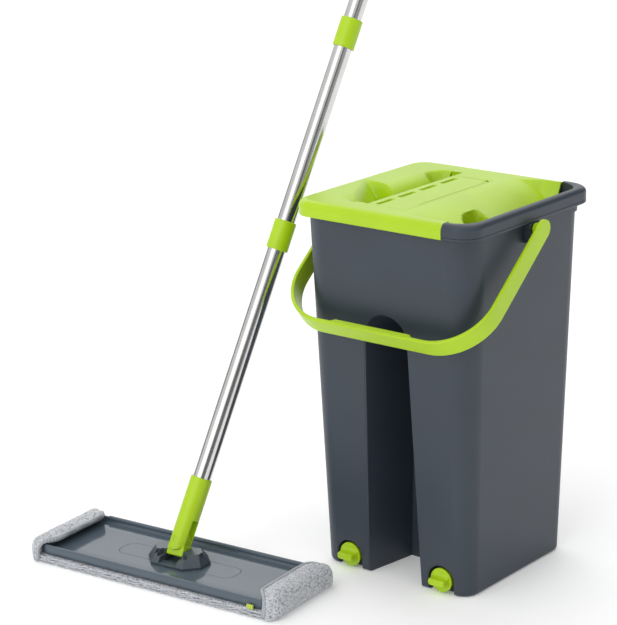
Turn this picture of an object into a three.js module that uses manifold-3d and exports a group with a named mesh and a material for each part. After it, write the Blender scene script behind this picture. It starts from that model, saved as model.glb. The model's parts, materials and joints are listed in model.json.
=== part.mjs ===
// Two-well flat-mop bucket with a slotted wringer cover, and its flat mop.
// Millimetres, +Z up. Origin: centre of the bucket's underside, on the floor.
// +X runs along the bucket's front face to its wash well, -Y points out of the front.
import * as THREE from 'three';
import { mergeVertices } from 'three/addons/utils/BufferGeometryUtils.js';
import Module from 'manifold-3d';

const wasm = await Module();
wasm.setup();

// ---------------------------------------------------------------- driving dimensions
const gap = 0.35; // clearance between touching pieces
const roundSides = 28; // sides of a round piece

// tub
const baseWidth = 189.7;
const baseDepth = 180.6;
const topWidth = 214.5;
const topDepth = 215.8;
const rimUnderside = 388; // height at which topWidth and topDepth are measured
const rimTop = 405;
const rimOverhang = 6.1;
const rimInset = 3.2;
const lipTop = 400.6; // plain lip that the cover hides
const lipOverhang = 2.4;
const wall = 3;
const floorThickness = 3;
const cornerRadius = 30; // at the top; the upright corners tighten towards the floor
const baseCornerRadius = 18;
const rimCornerRadius = 23;
const footRadius = 5;
const partitionThickness = 3;
const exposedRimX = 79; // the tub's own rim shows from here to the right

// recess between the legs, front and back
const recessHalfWidthBottom = 36;
const recessHalfWidthTop = 28;
const recessSpringHeight = 270;
const recessRise = 26;
const recessLip = 1.6;
const recessTaper = 10.5;
const webHalfDepth = 25.5;

// drains
const drainX = 60;
const drainHeight = 14.4;
const drainDiscRadius = 13;
const drainDiscThickness = 3.4;
const drainNicheHalfWidth = 17;
const drainNicheDepth = 10;
const drainNeckRadius = 8.6;
const drainNeckLength = 11;
const drainWingWidth = 20;
const drainWingHeight = 6.5;
const drainWingReach = 9.5;
const sealThickness = 2.4;
const sealWidth = 2.6;

// bail
const bailPivotHeight = 381.4;
const bailAngleBelowLevel = 39.4;
const bailReach = 163.6;
const bailHalfWidth = 125.8;
const bailCornerRadius = 58;
const bailStripWidth = 21.4;
const bailStripThickness = 4.2;
const bailGripHalfLength = 52;
const bailGripRise = 4;
const bossReach = 114;
const bossHalfWidth = 9;
const bossHeight = 21;
const pivotPinRadius = 4.5;
const pivotHubRadius = 6.2;

// cover
const coverTop = 404.4;
const coverThickness = 3;
const ledgeThickness = 2.4;
const coverRightEnd = 78;
const coverLipInset = 9;
const drySlotLeft = -50;
const drySlotRight = -34;
const slotHalfLength = 84;
const dryWallBottom = 300;
const rollStart = -72;
const bowlDepth = 26;
const rampStart = 26;
const rampDrop = 38;
const washWallBottom = 318;

// clip-in wringer insert on the cover's plateau
const insertRight = 15;
const insertFront = -86;
const insertBack = 70;
const insertThickness = 5;
const insertSlotLength = 26;
const insertSlotWidth = 3.4;
const insertSlotDepth = 3;
const insertSlotInset = 10;
const insertSlotPitch = 37.3;
const insertSlotCount = 4;
const firstSlotY = -67.5;
const dryWallEnd = 67;
const ledgeWidth = 6;
const insertBladeDepth = 92;
const insertBladeThickness = 2.6;
const scraperReach = 3.4;
const scraperHeight = 14;

// wash rack
const rackHeight = 150;
const rackLength = 140;
const rackBoard = 2.6;
const rackRibCount = 7;
const rackRibReach = 3.6;

// mop head
const mopX = -198.3;
const mopY = -210.8;
const mopYaw = 5;
const plateLength = 304;
const plateWidth = 105;
const plateBottom = 8.8;
const plateRimTop = 19.6;
const plateFloorTop = 13.8;
const plateRimWidth = 6;
const padLength = 324;
const padWidth = 114;
const padTop = 8.4;
const pocketTop = 27.5;
const pocketReach = 27;
const bracketLength = 70;
const bracketWidth = 46;
const bracketChamfer = 14;
const bracketBase = 2.6;
const bracketTop = 28;
const bracketLean = 6.5;
const swingReliefHalfWidth = 16; // room for the sleeve when it leans both ways at once
const swingReliefHeight = 22;
const tiltPinHeight = 25;
const pinRadius = 1.9;
const screwRadius = 2.6;

// joint and pole, measured along the pole from the tilt pin
const restTilt = 24.5; // lean towards the back
const restSwing = 7; // lean along the plate
const swingPinOffset = 12;
const blockHalfWidth = 10.9;
const blockHalfDepth = 8.2;
const blockBottom = -5.8;
const prongGap = 11.4;
const forkHalfWidth = 11;
const forkSlotTop = 36;
const sleeveRadius = 11.75;
const sleeveTop = 82;
const tubeRadius = 10;
const tubeWall = 0.9;
const tubeStart = 46;
const collarRadius = 12;
const collarLength = 32.5;
const firstCollarCentre = 355.3;
const collarPitch = 228.4;
const collarCount = 4;
const threadRadius = 6.4;
const threadLength = 26;
const insertWallRadius = tubeRadius - tubeWall - gap;
const insertLength = 34;
const gripRadius = 13.4;
const gripLength = 150;
const poleTop = 1240;
const hangLoopRadius = 13;
const hangHoleRadius = 7.5;
const hangLoopThickness = 8;

// ---------------------------------------------------------------- derived sizes
const taperX = (topWidth - baseWidth) / 2 / rimUnderside;
const taperY = (topDepth - baseDepth) / 2 / rimUnderside;
const halfWidthAt = (z) => baseWidth / 2 + taperX * z;
const halfDepthAt = (z) => baseDepth / 2 + taperY * z;
const recessHalfWidthAt = (z) =>
  recessHalfWidthBottom -
  ((recessHalfWidthBottom - recessHalfWidthTop) * Math.min(z, recessSpringHeight)) / recessSpringHeight;
const nicheWallY = -baseDepth / 2 + drainNicheDepth;
const insertLeft = drySlotRight;
const pocketFloor = coverTop - insertThickness - gap;

// ---------------------------------------------------------------- colours
const slateGrey = new THREE.MeshStandardMaterial({ color: '#454c54', roughness: 0.5, metalness: 0 });
const limeGreen = new THREE.MeshStandardMaterial({ color: '#a6d022', roughness: 0.42, metalness: 0 });
const plateGrey = new THREE.MeshStandardMaterial({ color: '#6f7880', roughness: 0.3, metalness: 0 });
const bracketGrey = new THREE.MeshStandardMaterial({ color: '#3d444c', roughness: 0.4, metalness: 0 });
const sealBlack = new THREE.MeshStandardMaterial({ color: '#24272a', roughness: 0.8, metalness: 0 });
const steel = new THREE.MeshStandardMaterial({ color: '#c9ccd0', roughness: 0.18, metalness: 1 });
const padGrey = new THREE.MeshStandardMaterial({ color: '#a9adb4', roughness: 0.95, metalness: 0 });
const tabGreen = new THREE.MeshStandardMaterial({ color: '#c3d64a', roughness: 0.8, metalness: 0 });

// ---------------------------------------------------------------- solid helpers
function toSolid(geometry) {
  const bare = geometry.clone();
  bare.deleteAttribute('normal');
  bare.deleteAttribute('uv');
  const merged = mergeVertices(bare, 1e-4);
  return new wasm.Manifold(
    new wasm.Mesh({
      numProp: 3,
      vertProperties: new Float32Array(merged.attributes.position.array),
      triVerts: new Uint32Array(merged.index.array),
    }),
  );
}

function toGeometry(solid) {
  const mesh = solid.getMesh();
  const geometry = new THREE.BufferGeometry();
  geometry.setAttribute('position', new THREE.BufferAttribute(new Float32Array(mesh.vertProperties), 3));
  geometry.setIndex(new THREE.BufferAttribute(new Uint32Array(mesh.triVerts), 1));
  geometry.computeVertexNormals();
  return geometry;
}

function cut(body, ...tools) {
  return tools.reduce((result, tool) => result.subtract(tool), body);
}

function join(first, ...others) {
  return others.reduce((result, other) => result.add(other), first);
}

function box(x0, x1, y0, y1, z0, z1) {
  const geometry = new THREE.BoxGeometry(x1 - x0, y1 - y0, z1 - z0);
  geometry.translate((x0 + x1) / 2, (y0 + y1) / 2, (z0 + z1) / 2);
  return toSolid(geometry);
}

// Cylinder from a start point, along 'x', 'y' or 'z'.
function rod(axis, radius, length, x, y, z, sides = roundSides) {
  const geometry = new THREE.CylinderGeometry(radius, radius, length, sides);
  geometry.translate(0, length / 2, 0);
  if (axis === 'x') geometry.rotateZ(-Math.PI / 2);
  if (axis === 'z') geometry.rotateX(Math.PI / 2);
  geometry.translate(x, y, z);
  return toSolid(geometry);
}

// Solid of revolution about Z from [radius, height] pairs, listed upwards.
function turned(profile, sides = roundSides) {
  const points = profile.map(([radius, height]) => new THREE.Vector2(radius, height));
  const geometry = new THREE.LatheGeometry(points, sides);
  geometry.rotateX(Math.PI / 2);
  return toSolid(geometry);
}

// Six times the volume inside a triangle mesh; negative when its faces point inwards.
function enclosedVolume(points, index) {
  let volume = 0;
  for (let i = 0; i < index.length; i += 3) {
    const [a, b, c] = [points[index[i]], points[index[i + 1]], points[index[i + 2]]];
    volume += a.dot(new THREE.Vector3().crossVectors(b, c));
  }
  return volume;
}

// Closed solid through a list of rings, each with the same number of points.
// The end caps are filled as seen along the given pair of coordinates.
function loft(rings, across = 'x', up = 'y') {
  const count = rings[0].length;
  const positions = rings.flat().flatMap((p) => [p.x, p.y, p.z]);
  const index = [];
  for (let r = 0; r < rings.length - 1; r += 1) {
    for (let i = 0; i < count; i += 1) {
      const a = r * count + i;
      const b = r * count + ((i + 1) % count);
      index.push(a, b, b + count, a, b + count, a + count);
    }
  }
  const flat = (ring) => ring.map((p) => new THREE.Vector2(p[across], p[up]));
  const clockwise = THREE.ShapeUtils.isClockWise(flat(rings[0]));
  const last = (rings.length - 1) * count;
  for (const [a, b, c] of THREE.ShapeUtils.triangulateShape(flat(rings[0]), [])) {
    index.push(a, ...(clockwise ? [b, c] : [c, b]));
  }
  for (const [a, b, c] of THREE.ShapeUtils.triangulateShape(flat(rings.at(-1)), [])) {
    index.push(last + a, ...(clockwise ? [last + c, last + b] : [last + b, last + c]));
  }
  if (enclosedVolume(rings.flat(), index) < 0) index.reverse();
  const geometry = new THREE.BufferGeometry();
  geometry.setAttribute('position', new THREE.BufferAttribute(new Float32Array(positions), 3));
  geometry.setIndex(index);
  return toSolid(geometry);
}

// Rounded rectangle ring at height z, anticlockwise from above.
function roundedRing(halfX, halfY, radius, z, steps = 5) {
  const points = [];
  const corners = [
    [1, 1, 0],
    [-1, 1, 90],
    [-1, -1, 180],
    [1, -1, 270],
  ];
  for (const [sx, sy, start] of corners) {
    for (let i = 0; i <= steps; i += 1) {
      const a = THREE.MathUtils.degToRad(start + (90 * i) / steps);
      const x = sx * (halfX - radius) + radius * Math.cos(a);
      const y = sy * (halfY - radius) + radius * Math.sin(a);
      points.push(new THREE.Vector3(x, y, z));
    }
  }
  return points;
}

function roundedBlock(halfX, halfY, radius, z0, z1, steps = 5) {
  return loft([roundedRing(halfX, halfY, radius, z0, steps), roundedRing(halfX, halfY, radius, z1, steps)]);
}

// ---------------------------------------------------------------- tub
// Tapered body of the tub, moved outwards by `grow`.
function cornerRadiusAt(z) {
  return baseCornerRadius + ((cornerRadius - baseCornerRadius) * z) / rimUnderside;
}

function tubBody(grow, z0, z1) {
  const ring = (z, inset) =>
    roundedRing(
      halfWidthAt(z) + grow - inset,
      halfDepthAt(z) + grow - inset,
      cornerRadiusAt(z) + grow - inset,
      z,
    );
  const rings = [];
  for (const angle of [0, 30, 60, 90]) {
    const a = THREE.MathUtils.degToRad(angle);
    rings.push(ring(z0 + footRadius * (1 - Math.cos(a)), footRadius * (1 - Math.sin(a))));
  }
  rings.push(ring(z1, 0));
  return loft(rings);
}

// Arched recess between the legs: rounded lip, walls leaning in; `grow` widens it for the wall.
function recess(side, grow) {
  const arch = (inset, depth) => {
    const points = [];
    const drop = inset - grow;
    const place = (x, z) => new THREE.Vector3(x, side * (halfDepthAt(Math.max(z, 0)) - depth), z);
    const below = -5;
    points.push(place(recessHalfWidthBottom - drop, below));
    for (let i = 0; i <= 12; i += 1) {
      const a = (Math.PI * i) / 12;
      const x = (recessHalfWidthTop - drop) * Math.cos(a);
      points.push(place(x, recessSpringHeight + (recessRise - drop) * Math.sin(a)));
    }
    points.push(place(-(recessHalfWidthBottom - drop), below));
    return points;
  };
  const rings = [arch(0, -8)];
  for (const angle of [0, 30, 60, 90]) {
    const a = THREE.MathUtils.degToRad(angle);
    rings.push(arch(recessLip * Math.sin(a), recessLip * (1 - Math.cos(a))));
  }
  const backY = side * (webHalfDepth - grow);
  rings.push(arch(recessTaper, 0).map((p) => new THREE.Vector3(p.x, backY, p.z)));
  return loft(rings, 'x', 'z');
}

function drainNiche(sign, grow) {
  const halfWidth = drainNicheHalfWidth + grow;
  const y1 = nicheWallY + grow;
  const x = sign * drainX;
  const body = box(x - halfWidth, x + halfWidth, -baseDepth, y1, -5, drainHeight);
  return body.add(rod('y', halfWidth, y1 + baseDepth, x, -baseDepth, drainHeight, 36));
}

// Ring round the tub's mouth, from its outer overhang to its inner face.
function rimRing(outward, inward, z0, z1, topRound, outerCorner) {
  const ringAt = (offset, radius, z) =>
    roundedRing(topWidth / 2 + offset, topDepth / 2 + offset, radius, z);
  const outer = [
    ringAt(outward, outerCorner, z0),
    ringAt(outward, outerCorner, z1 - topRound),
    ringAt(outward - topRound, outerCorner - topRound, z1),
  ];
  const innerOffset = -wall - inward;
  const innerCorner = cornerRadius + innerOffset;
  const inner = [ringAt(innerOffset, innerCorner, z0 - 5), ringAt(innerOffset, innerCorner, z1 + 5)];
  return cut(loft(outer), loft(inner));
}

function pivotBoss(sign) {
  const z0 = rimUnderside - gap - bossHeight;
  const inner = sign * (halfWidthAt(z0) - wall / 2);
  const outer = sign * bossReach;
  const body = box(
    Math.min(inner, outer),
    Math.max(inner, outer),
    -bossHalfWidth,
    bossHalfWidth,
    z0,
    rimUnderside - gap,
  );
  return body;
}

function makeTub() {
  const grownHoles = [recess(-1, wall), recess(1, wall), drainNiche(-1, wall), drainNiche(1, wall)];
  const partition = box(
    -partitionThickness / 2,
    partitionThickness / 2,
    -topDepth,
    topDepth,
    0,
    rimUnderside - 30,
  );
  const cavity = cut(tubBody(-wall, floorThickness, rimTop + 5), partition, ...grownHoles);
  const fatRim = cut(
    rimRing(rimOverhang, rimInset, rimUnderside, rimTop, 4.5, rimCornerRadius),
    box(-topWidth, exposedRimX, -topDepth, topDepth, 0, rimTop + 10),
  );
  const shell = join(
    tubBody(0, 0, lipTop),
    rimRing(lipOverhang, 0, lipTop - 5, lipTop, 1.2, cornerRadius + lipOverhang),
    fatRim,
    pivotBoss(-1),
    pivotBoss(1),
  );
  const holeDepth = bossReach - halfWidthAt(bailPivotHeight);
  const pinHole = (sign) => {
    const start = sign > 0 ? bossReach - holeDepth : -bossReach - 1;
    return rod('x', pivotPinRadius + gap, holeDepth + 1, start, 0, bailPivotHeight);
  };
  const drainHole = (sign) =>
    rod('y', drainNeckRadius + gap, wall + 2, sign * drainX, nicheWallY - 1, drainHeight);
  return cut(
    shell,
    recess(-1, 0),
    recess(1, 0),
    drainNiche(-1, 0),
    drainNiche(1, 0),
    cavity,
    pinHole(-1),
    pinHole(1),
    drainHole(-1),
    drainHole(1),
  );
}

// ---------------------------------------------------------------- drains
function makeDrainPlug(sign) {
  const x = sign * drainX;
  const discBack = nicheWallY - sealThickness - gap;
  const discFront = discBack - drainDiscThickness;
  const disc = rod('y', drainDiscRadius, drainDiscThickness, x, discFront, drainHeight);
  const neck = rod('y', drainNeckRadius, drainNeckLength, x, discBack - 1, drainHeight);
  const stem = rod('y', drainDiscRadius * 0.62, 5.5, x, discFront - 5, drainHeight);
  const wing = box(
    x - drainWingWidth / 2,
    x + drainWingWidth / 2,
    discFront - 5 - drainWingReach,
    discFront + 1,
    drainHeight - drainWingHeight / 2,
    drainHeight + drainWingHeight / 2,
  );
  return join(disc, neck, stem, wing);
}

function makeDrainSeal(sign) {
  const x = sign * drainX;
  const y = nicheWallY - sealThickness;
  const inner = drainNeckRadius + gap;
  const ring = rod('y', inner + sealWidth, sealThickness - gap, x, y, drainHeight);
  return cut(ring, rod('y', inner, sealThickness + 4, x, y - 2, drainHeight));
}

// ---------------------------------------------------------------- bail
// Made lying in the XY plane: arms along +Y from the pivot axis, strip width along Z.
function makeBail() {
  const outline = (halfWidth, reach, radius) => {
    const points = [new THREE.Vector2(halfWidth, 0)];
    for (let i = 0; i <= 8; i += 1) {
      const a = (Math.PI / 2) * (i / 8);
      points.push(
        new THREE.Vector2(halfWidth - radius + radius * Math.cos(a), reach - radius + radius * Math.sin(a)),
      );
    }
    return points;
  };
  const mirrored = (points) => points.map((p) => new THREE.Vector2(-p.x, p.y)).reverse();
  const outer = outline(bailHalfWidth, bailReach, bailCornerRadius);
  const inner = outline(
    bailHalfWidth - bailStripThickness,
    bailReach - bailStripThickness,
    bailCornerRadius - bailStripThickness,
  );
  const outside = [...outer, ...mirrored(outer)];
  const inside = [...inner, ...mirrored(inner)].reverse();
  const shape = new THREE.Shape([...outside, ...inside]);
  const strip = new THREE.ExtrudeGeometry(shape, { depth: bailStripWidth, bevelEnabled: false });
  strip.translate(0, 0, -bailStripWidth / 2);
  const gripShape = new THREE.Shape([
    new THREE.Vector2(-bailGripHalfLength, bailReach - bailStripThickness + 1),
    new THREE.Vector2(-bailGripHalfLength + 8, bailReach - bailStripThickness - bailGripRise),
    new THREE.Vector2(bailGripHalfLength - 8, bailReach - bailStripThickness - bailGripRise),
    new THREE.Vector2(bailGripHalfLength, bailReach - bailStripThickness + 1),
  ]);
  const grip = new THREE.ExtrudeGeometry(gripShape, { depth: bailStripWidth - 2, bevelEnabled: false });
  grip.translate(0, 0, -bailStripWidth / 2 + 1);
  const pieces = [toSolid(grip)];
  for (const sign of [-1, 1]) {
    const armInner = bailHalfWidth - bailStripThickness;
    const start = (from, length) => (sign > 0 ? from : -from - length);
    pieces.push(rod('x', bailStripWidth / 2, bailStripThickness, start(armInner, bailStripThickness), 0, 0));
  }
  return join(toSolid(strip), ...pieces);
}

// Stud between the bail's arm and the tub's boss, along X at the pivot height.
function makeBailPin(sign) {
  const armInner = bailHalfWidth - bailStripThickness - gap;
  const hubStart = bossReach + gap;
  const pinStart = halfWidthAt(bailPivotHeight) + gap;
  const place = (from, to) => [to - from, sign > 0 ? from : -to, 0, bailPivotHeight];
  const hub = rod('x', pivotHubRadius, ...place(hubStart, armInner));
  return hub.add(rod('x', pivotPinRadius, ...place(pinStart, armInner - 1)));
}

// ---------------------------------------------------------------- cover
function smooth(t) {
  const u = Math.min(Math.max(t, 0), 1);
  return u * u * (3 - 2 * u);
}

// Dent centred at (cx, cy): 1 at its middle, 0 outside its radii.
function dent(x, y, cx, cy, rx, ry) {
  return smooth(1.35 * (1 - Math.hypot((x - cx) / rx, (y - cy) / ry)));
}

// Height of the cover's top surface.
function coverHeight(x, y) {
  const rolled = Math.max((x - rollStart) / (drySlotLeft - rollStart), 0);
  const roll = x < drySlotRight ? Math.min(rolled, 1) : 0;
  const along = smooth((slotHalfLength + 2 - Math.abs(y)) / 10);
  const leftDrop = 20 * (1 - Math.sqrt(1 - roll * roll * 0.999)) * along;
  const bowls = bowlDepth * Math.max(dent(x, y, -56, -42, 42, 44), dent(x, y, -54, 66, 28, 26));
  const left = x < drySlotRight ? Math.max(leftDrop, bowls) : 0;
  const ramp = Math.min(Math.max((x - rampStart) / (coverRightEnd - rampStart), 0), 1);
  const rampAlong = smooth((96 - Math.abs(y)) / 14);
  const rightDrop = rampDrop * ramp ** 1.7 * rampAlong;
  const scoop = x > rampStart ? 30 * dent(x, y, 80, -62, 32, 36) : 0;
  return coverTop - left - Math.max(rightDrop, Math.min(scoop, rampDrop));
}

// Sheet that follows coverHeight over the cover's plan.
function coverSheet() {
  const x0 = -topWidth / 2 - 1;
  const x1 = coverRightEnd;
  const half = topDepth / 2 + 1;
  const columns = 20;
  const rows = 22;
  const rings = [];
  for (let i = 0; i <= columns; i += 1) {
    const x = x0 + ((x1 - x0) * i) / columns;
    const ring = [];
    for (let j = 0; j <= rows; j += 1) {
      const y = -half + (2 * half * j) / rows;
      ring.push(new THREE.Vector3(x, y, coverHeight(x, y)));
    }
    for (let j = rows; j >= 0; j -= 1) {
      const y = -half + (2 * half * j) / rows;
      ring.push(new THREE.Vector3(x, y, coverHeight(x, y) - coverThickness));
    }
    rings.push(ring);
  }
  return loft(rings, 'y', 'z');
}

// Cap that wraps over the tub's lip on three sides.
function coverCap() {
  const ringAt = (offset, radius, z) =>
    roundedRing(topWidth / 2 + offset, topDepth / 2 + offset, radius, z);
  const outer = loft([
    ringAt(rimOverhang, rimCornerRadius, rimUnderside),
    ringAt(rimOverhang, rimCornerRadius, coverTop - 5),
    ringAt(rimOverhang - 1.6, rimCornerRadius - 1.6, coverTop - 1.6),
    ringAt(rimOverhang - 5, rimCornerRadius - 5, coverTop),
  ]);
  const lipSpace = lipOverhang + gap;
  const inner = loft([
    ringAt(lipSpace, cornerRadius + lipSpace, rimUnderside - 5),
    ringAt(lipSpace, cornerRadius + lipSpace, lipTop + gap),
  ]);
  const opening = roundedBlock(
    topWidth / 2 - coverLipInset,
    topDepth / 2 - coverLipInset,
    cornerRadius - coverLipInset,
    0,
    rimTop + 20,
  );
  return cut(
    outer,
    inner,
    opening,
    box(coverRightEnd, topWidth, -topDepth, topDepth, 0, rimTop + 20),
  );
}

function coverPlan(inset, z0, z1) {
  return roundedBlock(topWidth / 2 - inset, topDepth / 2 - inset, cornerRadius - inset, z0, z1);
}

function makeCover() {
  const inside = wall + 0.8;
  const sheet = coverSheet().intersect(coverPlan(-1, 0, rimTop + 20));
  const skirt = coverPlan(inside, lipTop - 12, coverTop - 1)
    .subtract(coverPlan(inside + 2.4, 0, rimTop))
    .subtract(box(coverRightEnd, topWidth, -topDepth, topDepth, 0, rimTop));
  const slotLength = slotHalfLength;
  const dryWall = box(
    drySlotLeft - wall,
    drySlotLeft,
    -slotLength,
    slotLength,
    dryWallBottom,
    coverTop - 22,
  );
  const washWall = box(
    coverRightEnd - wall,
    coverRightEnd,
    -slotLength,
    slotLength,
    washWallBottom,
    coverTop - rampDrop - 1,
  );
  const body = join(sheet, coverCap(), skirt, dryWall, washWall);
  const slotOpening = box(
    drySlotLeft,
    insertRight - ledgeWidth,
    -slotLength,
    dryWallEnd,
    dryWallBottom - 1,
    rimTop + 5,
  );
  const slotBack = box(
    drySlotLeft,
    drySlotRight,
    dryWallEnd - 1,
    slotLength,
    dryWallBottom - 1,
    rimTop + 5,
  );
  const ledge = box(
    insertLeft - 4,
    insertRight + ledgeWidth,
    insertFront - ledgeWidth,
    insertBack + ledgeWidth,
    pocketFloor - ledgeThickness,
    coverTop - 1,
  );
  const pocket = box(
    insertLeft - gap,
    insertRight + gap,
    insertFront - gap,
    insertBack + gap,
    pocketFloor,
    rimTop + 5,
  );
  return cut(body.add(ledge), slotOpening, slotBack, pocket);
}

// ---------------------------------------------------------------- wringer insert
function makeInsert() {
  const plateTop = coverTop;
  const plate = box(
    insertLeft,
    insertRight,
    insertFront,
    insertBack,
    plateTop - insertThickness,
    plateTop,
  );
  const blade = box(
    insertLeft,
    insertLeft + insertBladeThickness,
    -slotHalfLength + gap,
    dryWallEnd - gap,
    plateTop - insertBladeDepth,
    plateTop - 1,
  );
  const slots = [];
  for (let i = 0; i < insertSlotCount; i += 1) {
    const middle = firstSlotY + insertSlotPitch * i;
    slots.push(
      box(
        insertLeft + insertSlotInset - insertSlotWidth / 2,
        insertLeft + insertSlotInset + insertSlotWidth / 2,
        middle - insertSlotLength / 2,
        middle + insertSlotLength / 2,
        plateTop - insertSlotDepth,
        plateTop + 2,
      ),
    );
  }
  return cut(plate.add(blade), ...slots);
}

function makeScraper() {
  const top = coverTop - 34;
  const x = insertLeft - gap;
  return box(x - scraperReach, x, -slotHalfLength + 4, dryWallEnd - 4, top - scraperHeight, top);
}

function makeWashRack() {
  const x = coverRightEnd + gap;
  const top = coverTop - rampDrop - 6;
  let rack = box(x, x + rackBoard, -rackLength / 2, rackLength / 2, top - rackHeight, top);
  for (let i = 0; i < rackRibCount; i += 1) {
    const z = top - 12 - ((rackHeight - 24) * i) / (rackRibCount - 1);
    const rib = rod('y', rackRibReach, rackLength - 8, x + rackBoard - 0.6, -rackLength / 2 + 4, z, 12);
    rack = rack.add(rib);
  }
  return rack.intersect(box(x, x + 60, -rackLength, rackLength, 0, rimTop));
}

// ---------------------------------------------------------------- mop head
function makePlate() {
  const halfX = plateLength / 2;
  const halfY = plateWidth / 2;
  const outer = loft([
    roundedRing(halfX - 3, halfY - 3, 9, plateBottom),
    roundedRing(halfX, halfY, 12, plateBottom + 4),
    roundedRing(halfX, halfY, 12, plateRimTop - 1.5),
    roundedRing(halfX - 1.5, halfY - 1.5, 10.5, plateRimTop),
  ]);
  const tray = loft([
    roundedRing(halfX - plateRimWidth - 4, halfY - plateRimWidth - 2.5, 5, plateFloorTop),
    roundedRing(halfX - plateRimWidth, halfY - plateRimWidth, 7, plateRimTop + 1),
  ]);
  return cut(outer, tray);
}

function makeBracket() {
  const base = plateFloorTop + gap;
  const octagon = (halfX, halfY, c, z) =>
    [
      [halfX, -halfY + c],
      [halfX, halfY - c],
      [halfX - c, halfY],
      [-halfX + c, halfY],
      [-halfX, halfY - c],
      [-halfX, -halfY + c],
      [-halfX + c, -halfY],
      [halfX - c, -halfY],
    ].map(([x, y]) => new THREE.Vector3(x, y, z));
  const halfX = bracketLength / 2;
  const halfY = bracketWidth / 2;
  const lean = bracketLean;
  const body = loft([
    octagon(halfX, halfY, bracketChamfer, base),
    octagon(halfX, halfY, bracketChamfer, base + bracketBase),
    octagon(halfX - lean, halfY - lean * 1.3, bracketChamfer - lean / 2, bracketTop),
  ]);
  const slotHalf = blockHalfWidth + 0.6;
  const window = box(-slotHalf, slotHalf, -blockHalfDepth - 5, blockHalfDepth + 5, 0, bracketTop + 5);
  const slot = box(-slotHalf, slotHalf, -bracketWidth, bracketWidth, base + bracketBase, bracketTop + 5);
  const pinHole = rod('x', pinRadius + gap, bracketLength + 10, -halfX - 5, 0, tiltPinHeight, 16);
  const reliefs = [-1, 1].map((sign) => {
    const y = sign * (blockHalfDepth + bracketWidth / 2);
    const half = bracketWidth / 2;
    const x = swingReliefHalfWidth;
    return box(-x, x, y - half, y + half, swingReliefHeight, bracketTop + 5);
  });
  const screwHoles = screwPlaces().flatMap(([x, y]) => [
    rod('z', 1.6, 20, x, y, base - 2, 12),
    rod('z', screwRadius + gap, 20, x, y, base + bracketBase, 12),
  ]);
  return cut(body, window, slot, pinHole, ...reliefs, ...screwHoles);
}

function screwPlaces() {
  const x = bracketLength / 2 - 17;
  const y = bracketWidth / 2 - 9;
  return [
    [-x, -y],
    [x, -y],
    [-x, y],
    [x, y],
  ];
}

function makeScrew([x, y]) {
  const seat = plateFloorTop + gap + bracketBase + gap;
  const head = turned(
    [
      [0, 0],
      [screwRadius, 0],
      [screwRadius, 0.9],
      [screwRadius * 0.6, 1.6],
      [0, 1.6],
    ],
    12,
  ).translate([x, y, seat]);
  const shank = rod('z', 1.15, 3, x, y, seat - 2.5, 12);
  return head.add(shank);
}

function makeTiltPin() {
  const half = bracketLength / 2 - bracketLean - 0.6;
  return rod('x', pinRadius, 2 * half, -half, 0, tiltPinHeight, 16);
}

// ---------------------------------------------------------------- mop pad
function makePad() {
  const halfX = padLength / 2;
  const halfY = padWidth / 2;
  return loft([
    roundedRing(halfX - 5, halfY - 4, 12, 0),
    roundedRing(halfX - 1.2, halfY - 1, 15, 2.6),
    roundedRing(halfX, halfY, 16, 5),
    roundedRing(halfX - 0.6, halfY - 0.6, 16, padTop),
  ]);
}

// Half of the pocket's length section: wraps round the plate's end and over its top.
function makePocket(sign) {
  const outerX = padLength / 2;
  const innerX = outerX - pocketReach;
  const z0 = padTop + gap;
  const half = padWidth / 2 - 1;
  const plan = roundedBlock(outerX - 0.4, half, 15, 0, 60);
  const crown = [];
  const ring = (y, rise) => {
    const top = pocketTop - rise;
    return [
      [innerX, z0],
      [outerX, z0],
      [outerX, top - 9],
      [outerX - 3, top - 3],
      [outerX - 9, top],
      [innerX + 3, top],
      [innerX, top - 2],
    ].map(([x, z]) => new THREE.Vector3(sign * x, y, z));
  };
  for (const [y, rise] of [
    [-half, 7],
    [-half + 6, 1.5],
    [-half + 14, 0],
    [half - 14, 0],
    [half - 6, 1.5],
    [half, 7],
  ]) {
    crown.push(ring(y, rise));
  }
  const body = loft(crown, 'x', 'z').intersect(plan);
  const plateSpace = box(
    sign > 0 ? 0 : -plateLength / 2 - gap,
    sign > 0 ? plateLength / 2 + gap : 0,
    -plateWidth / 2 - gap,
    plateWidth / 2 + gap,
    0,
    plateRimTop + gap,
  );
  return cut(body, plateSpace);
}

function makePadTab() {
  const x = padLength / 2 - pocketReach - 8;
  const y = -plateWidth / 2 - gap;
  return box(x, x + 7, y - 3.2, y, padTop + gap, padTop + 5);
}

// ---------------------------------------------------------------- joint block and fork
function makeCrossBlock() {
  const halfTongue = prongGap / 2 - gap;
  const tongueRadius = blockHalfWidth - 1.4;
  const tongue = join(
    rod('y', tongueRadius, 2 * halfTongue, 0, -halfTongue, swingPinOffset),
    box(-tongueRadius, tongueRadius, -halfTongue, halfTongue, blockBottom + 2, swingPinOffset),
  );
  const lower = roundedBlock(blockHalfDepth, blockHalfWidth, 2.5, -blockHalfWidth, blockHalfWidth, 3);
  const turnedLower = lower
    .rotate([0, 90, 0])
    .intersect(box(-40, 40, -blockHalfDepth, blockHalfDepth, blockBottom, swingPinOffset - 5));
  const seat = rod('y', forkHalfWidth + 0.5, 40, 0, -20, swingPinOffset);
  const pinHoles = [
    rod('x', pinRadius + gap, 60, -30, 0, 0, 16),
    rod('y', pinRadius + gap, 60, 0, -30, swingPinOffset, 16),
  ];
  return cut(join(turnedLower.subtract(seat), tongue), ...pinHoles);
}

function makeSwingPin() {
  const half = sleeveRadius - 1.2;
  return rod('y', pinRadius, 2 * half, 0, -half, 0, 16);
}

// Pole pieces are made with z measured from the swing pin.
const fromSwingPin = (offset) => offset - swingPinOffset;

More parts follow.
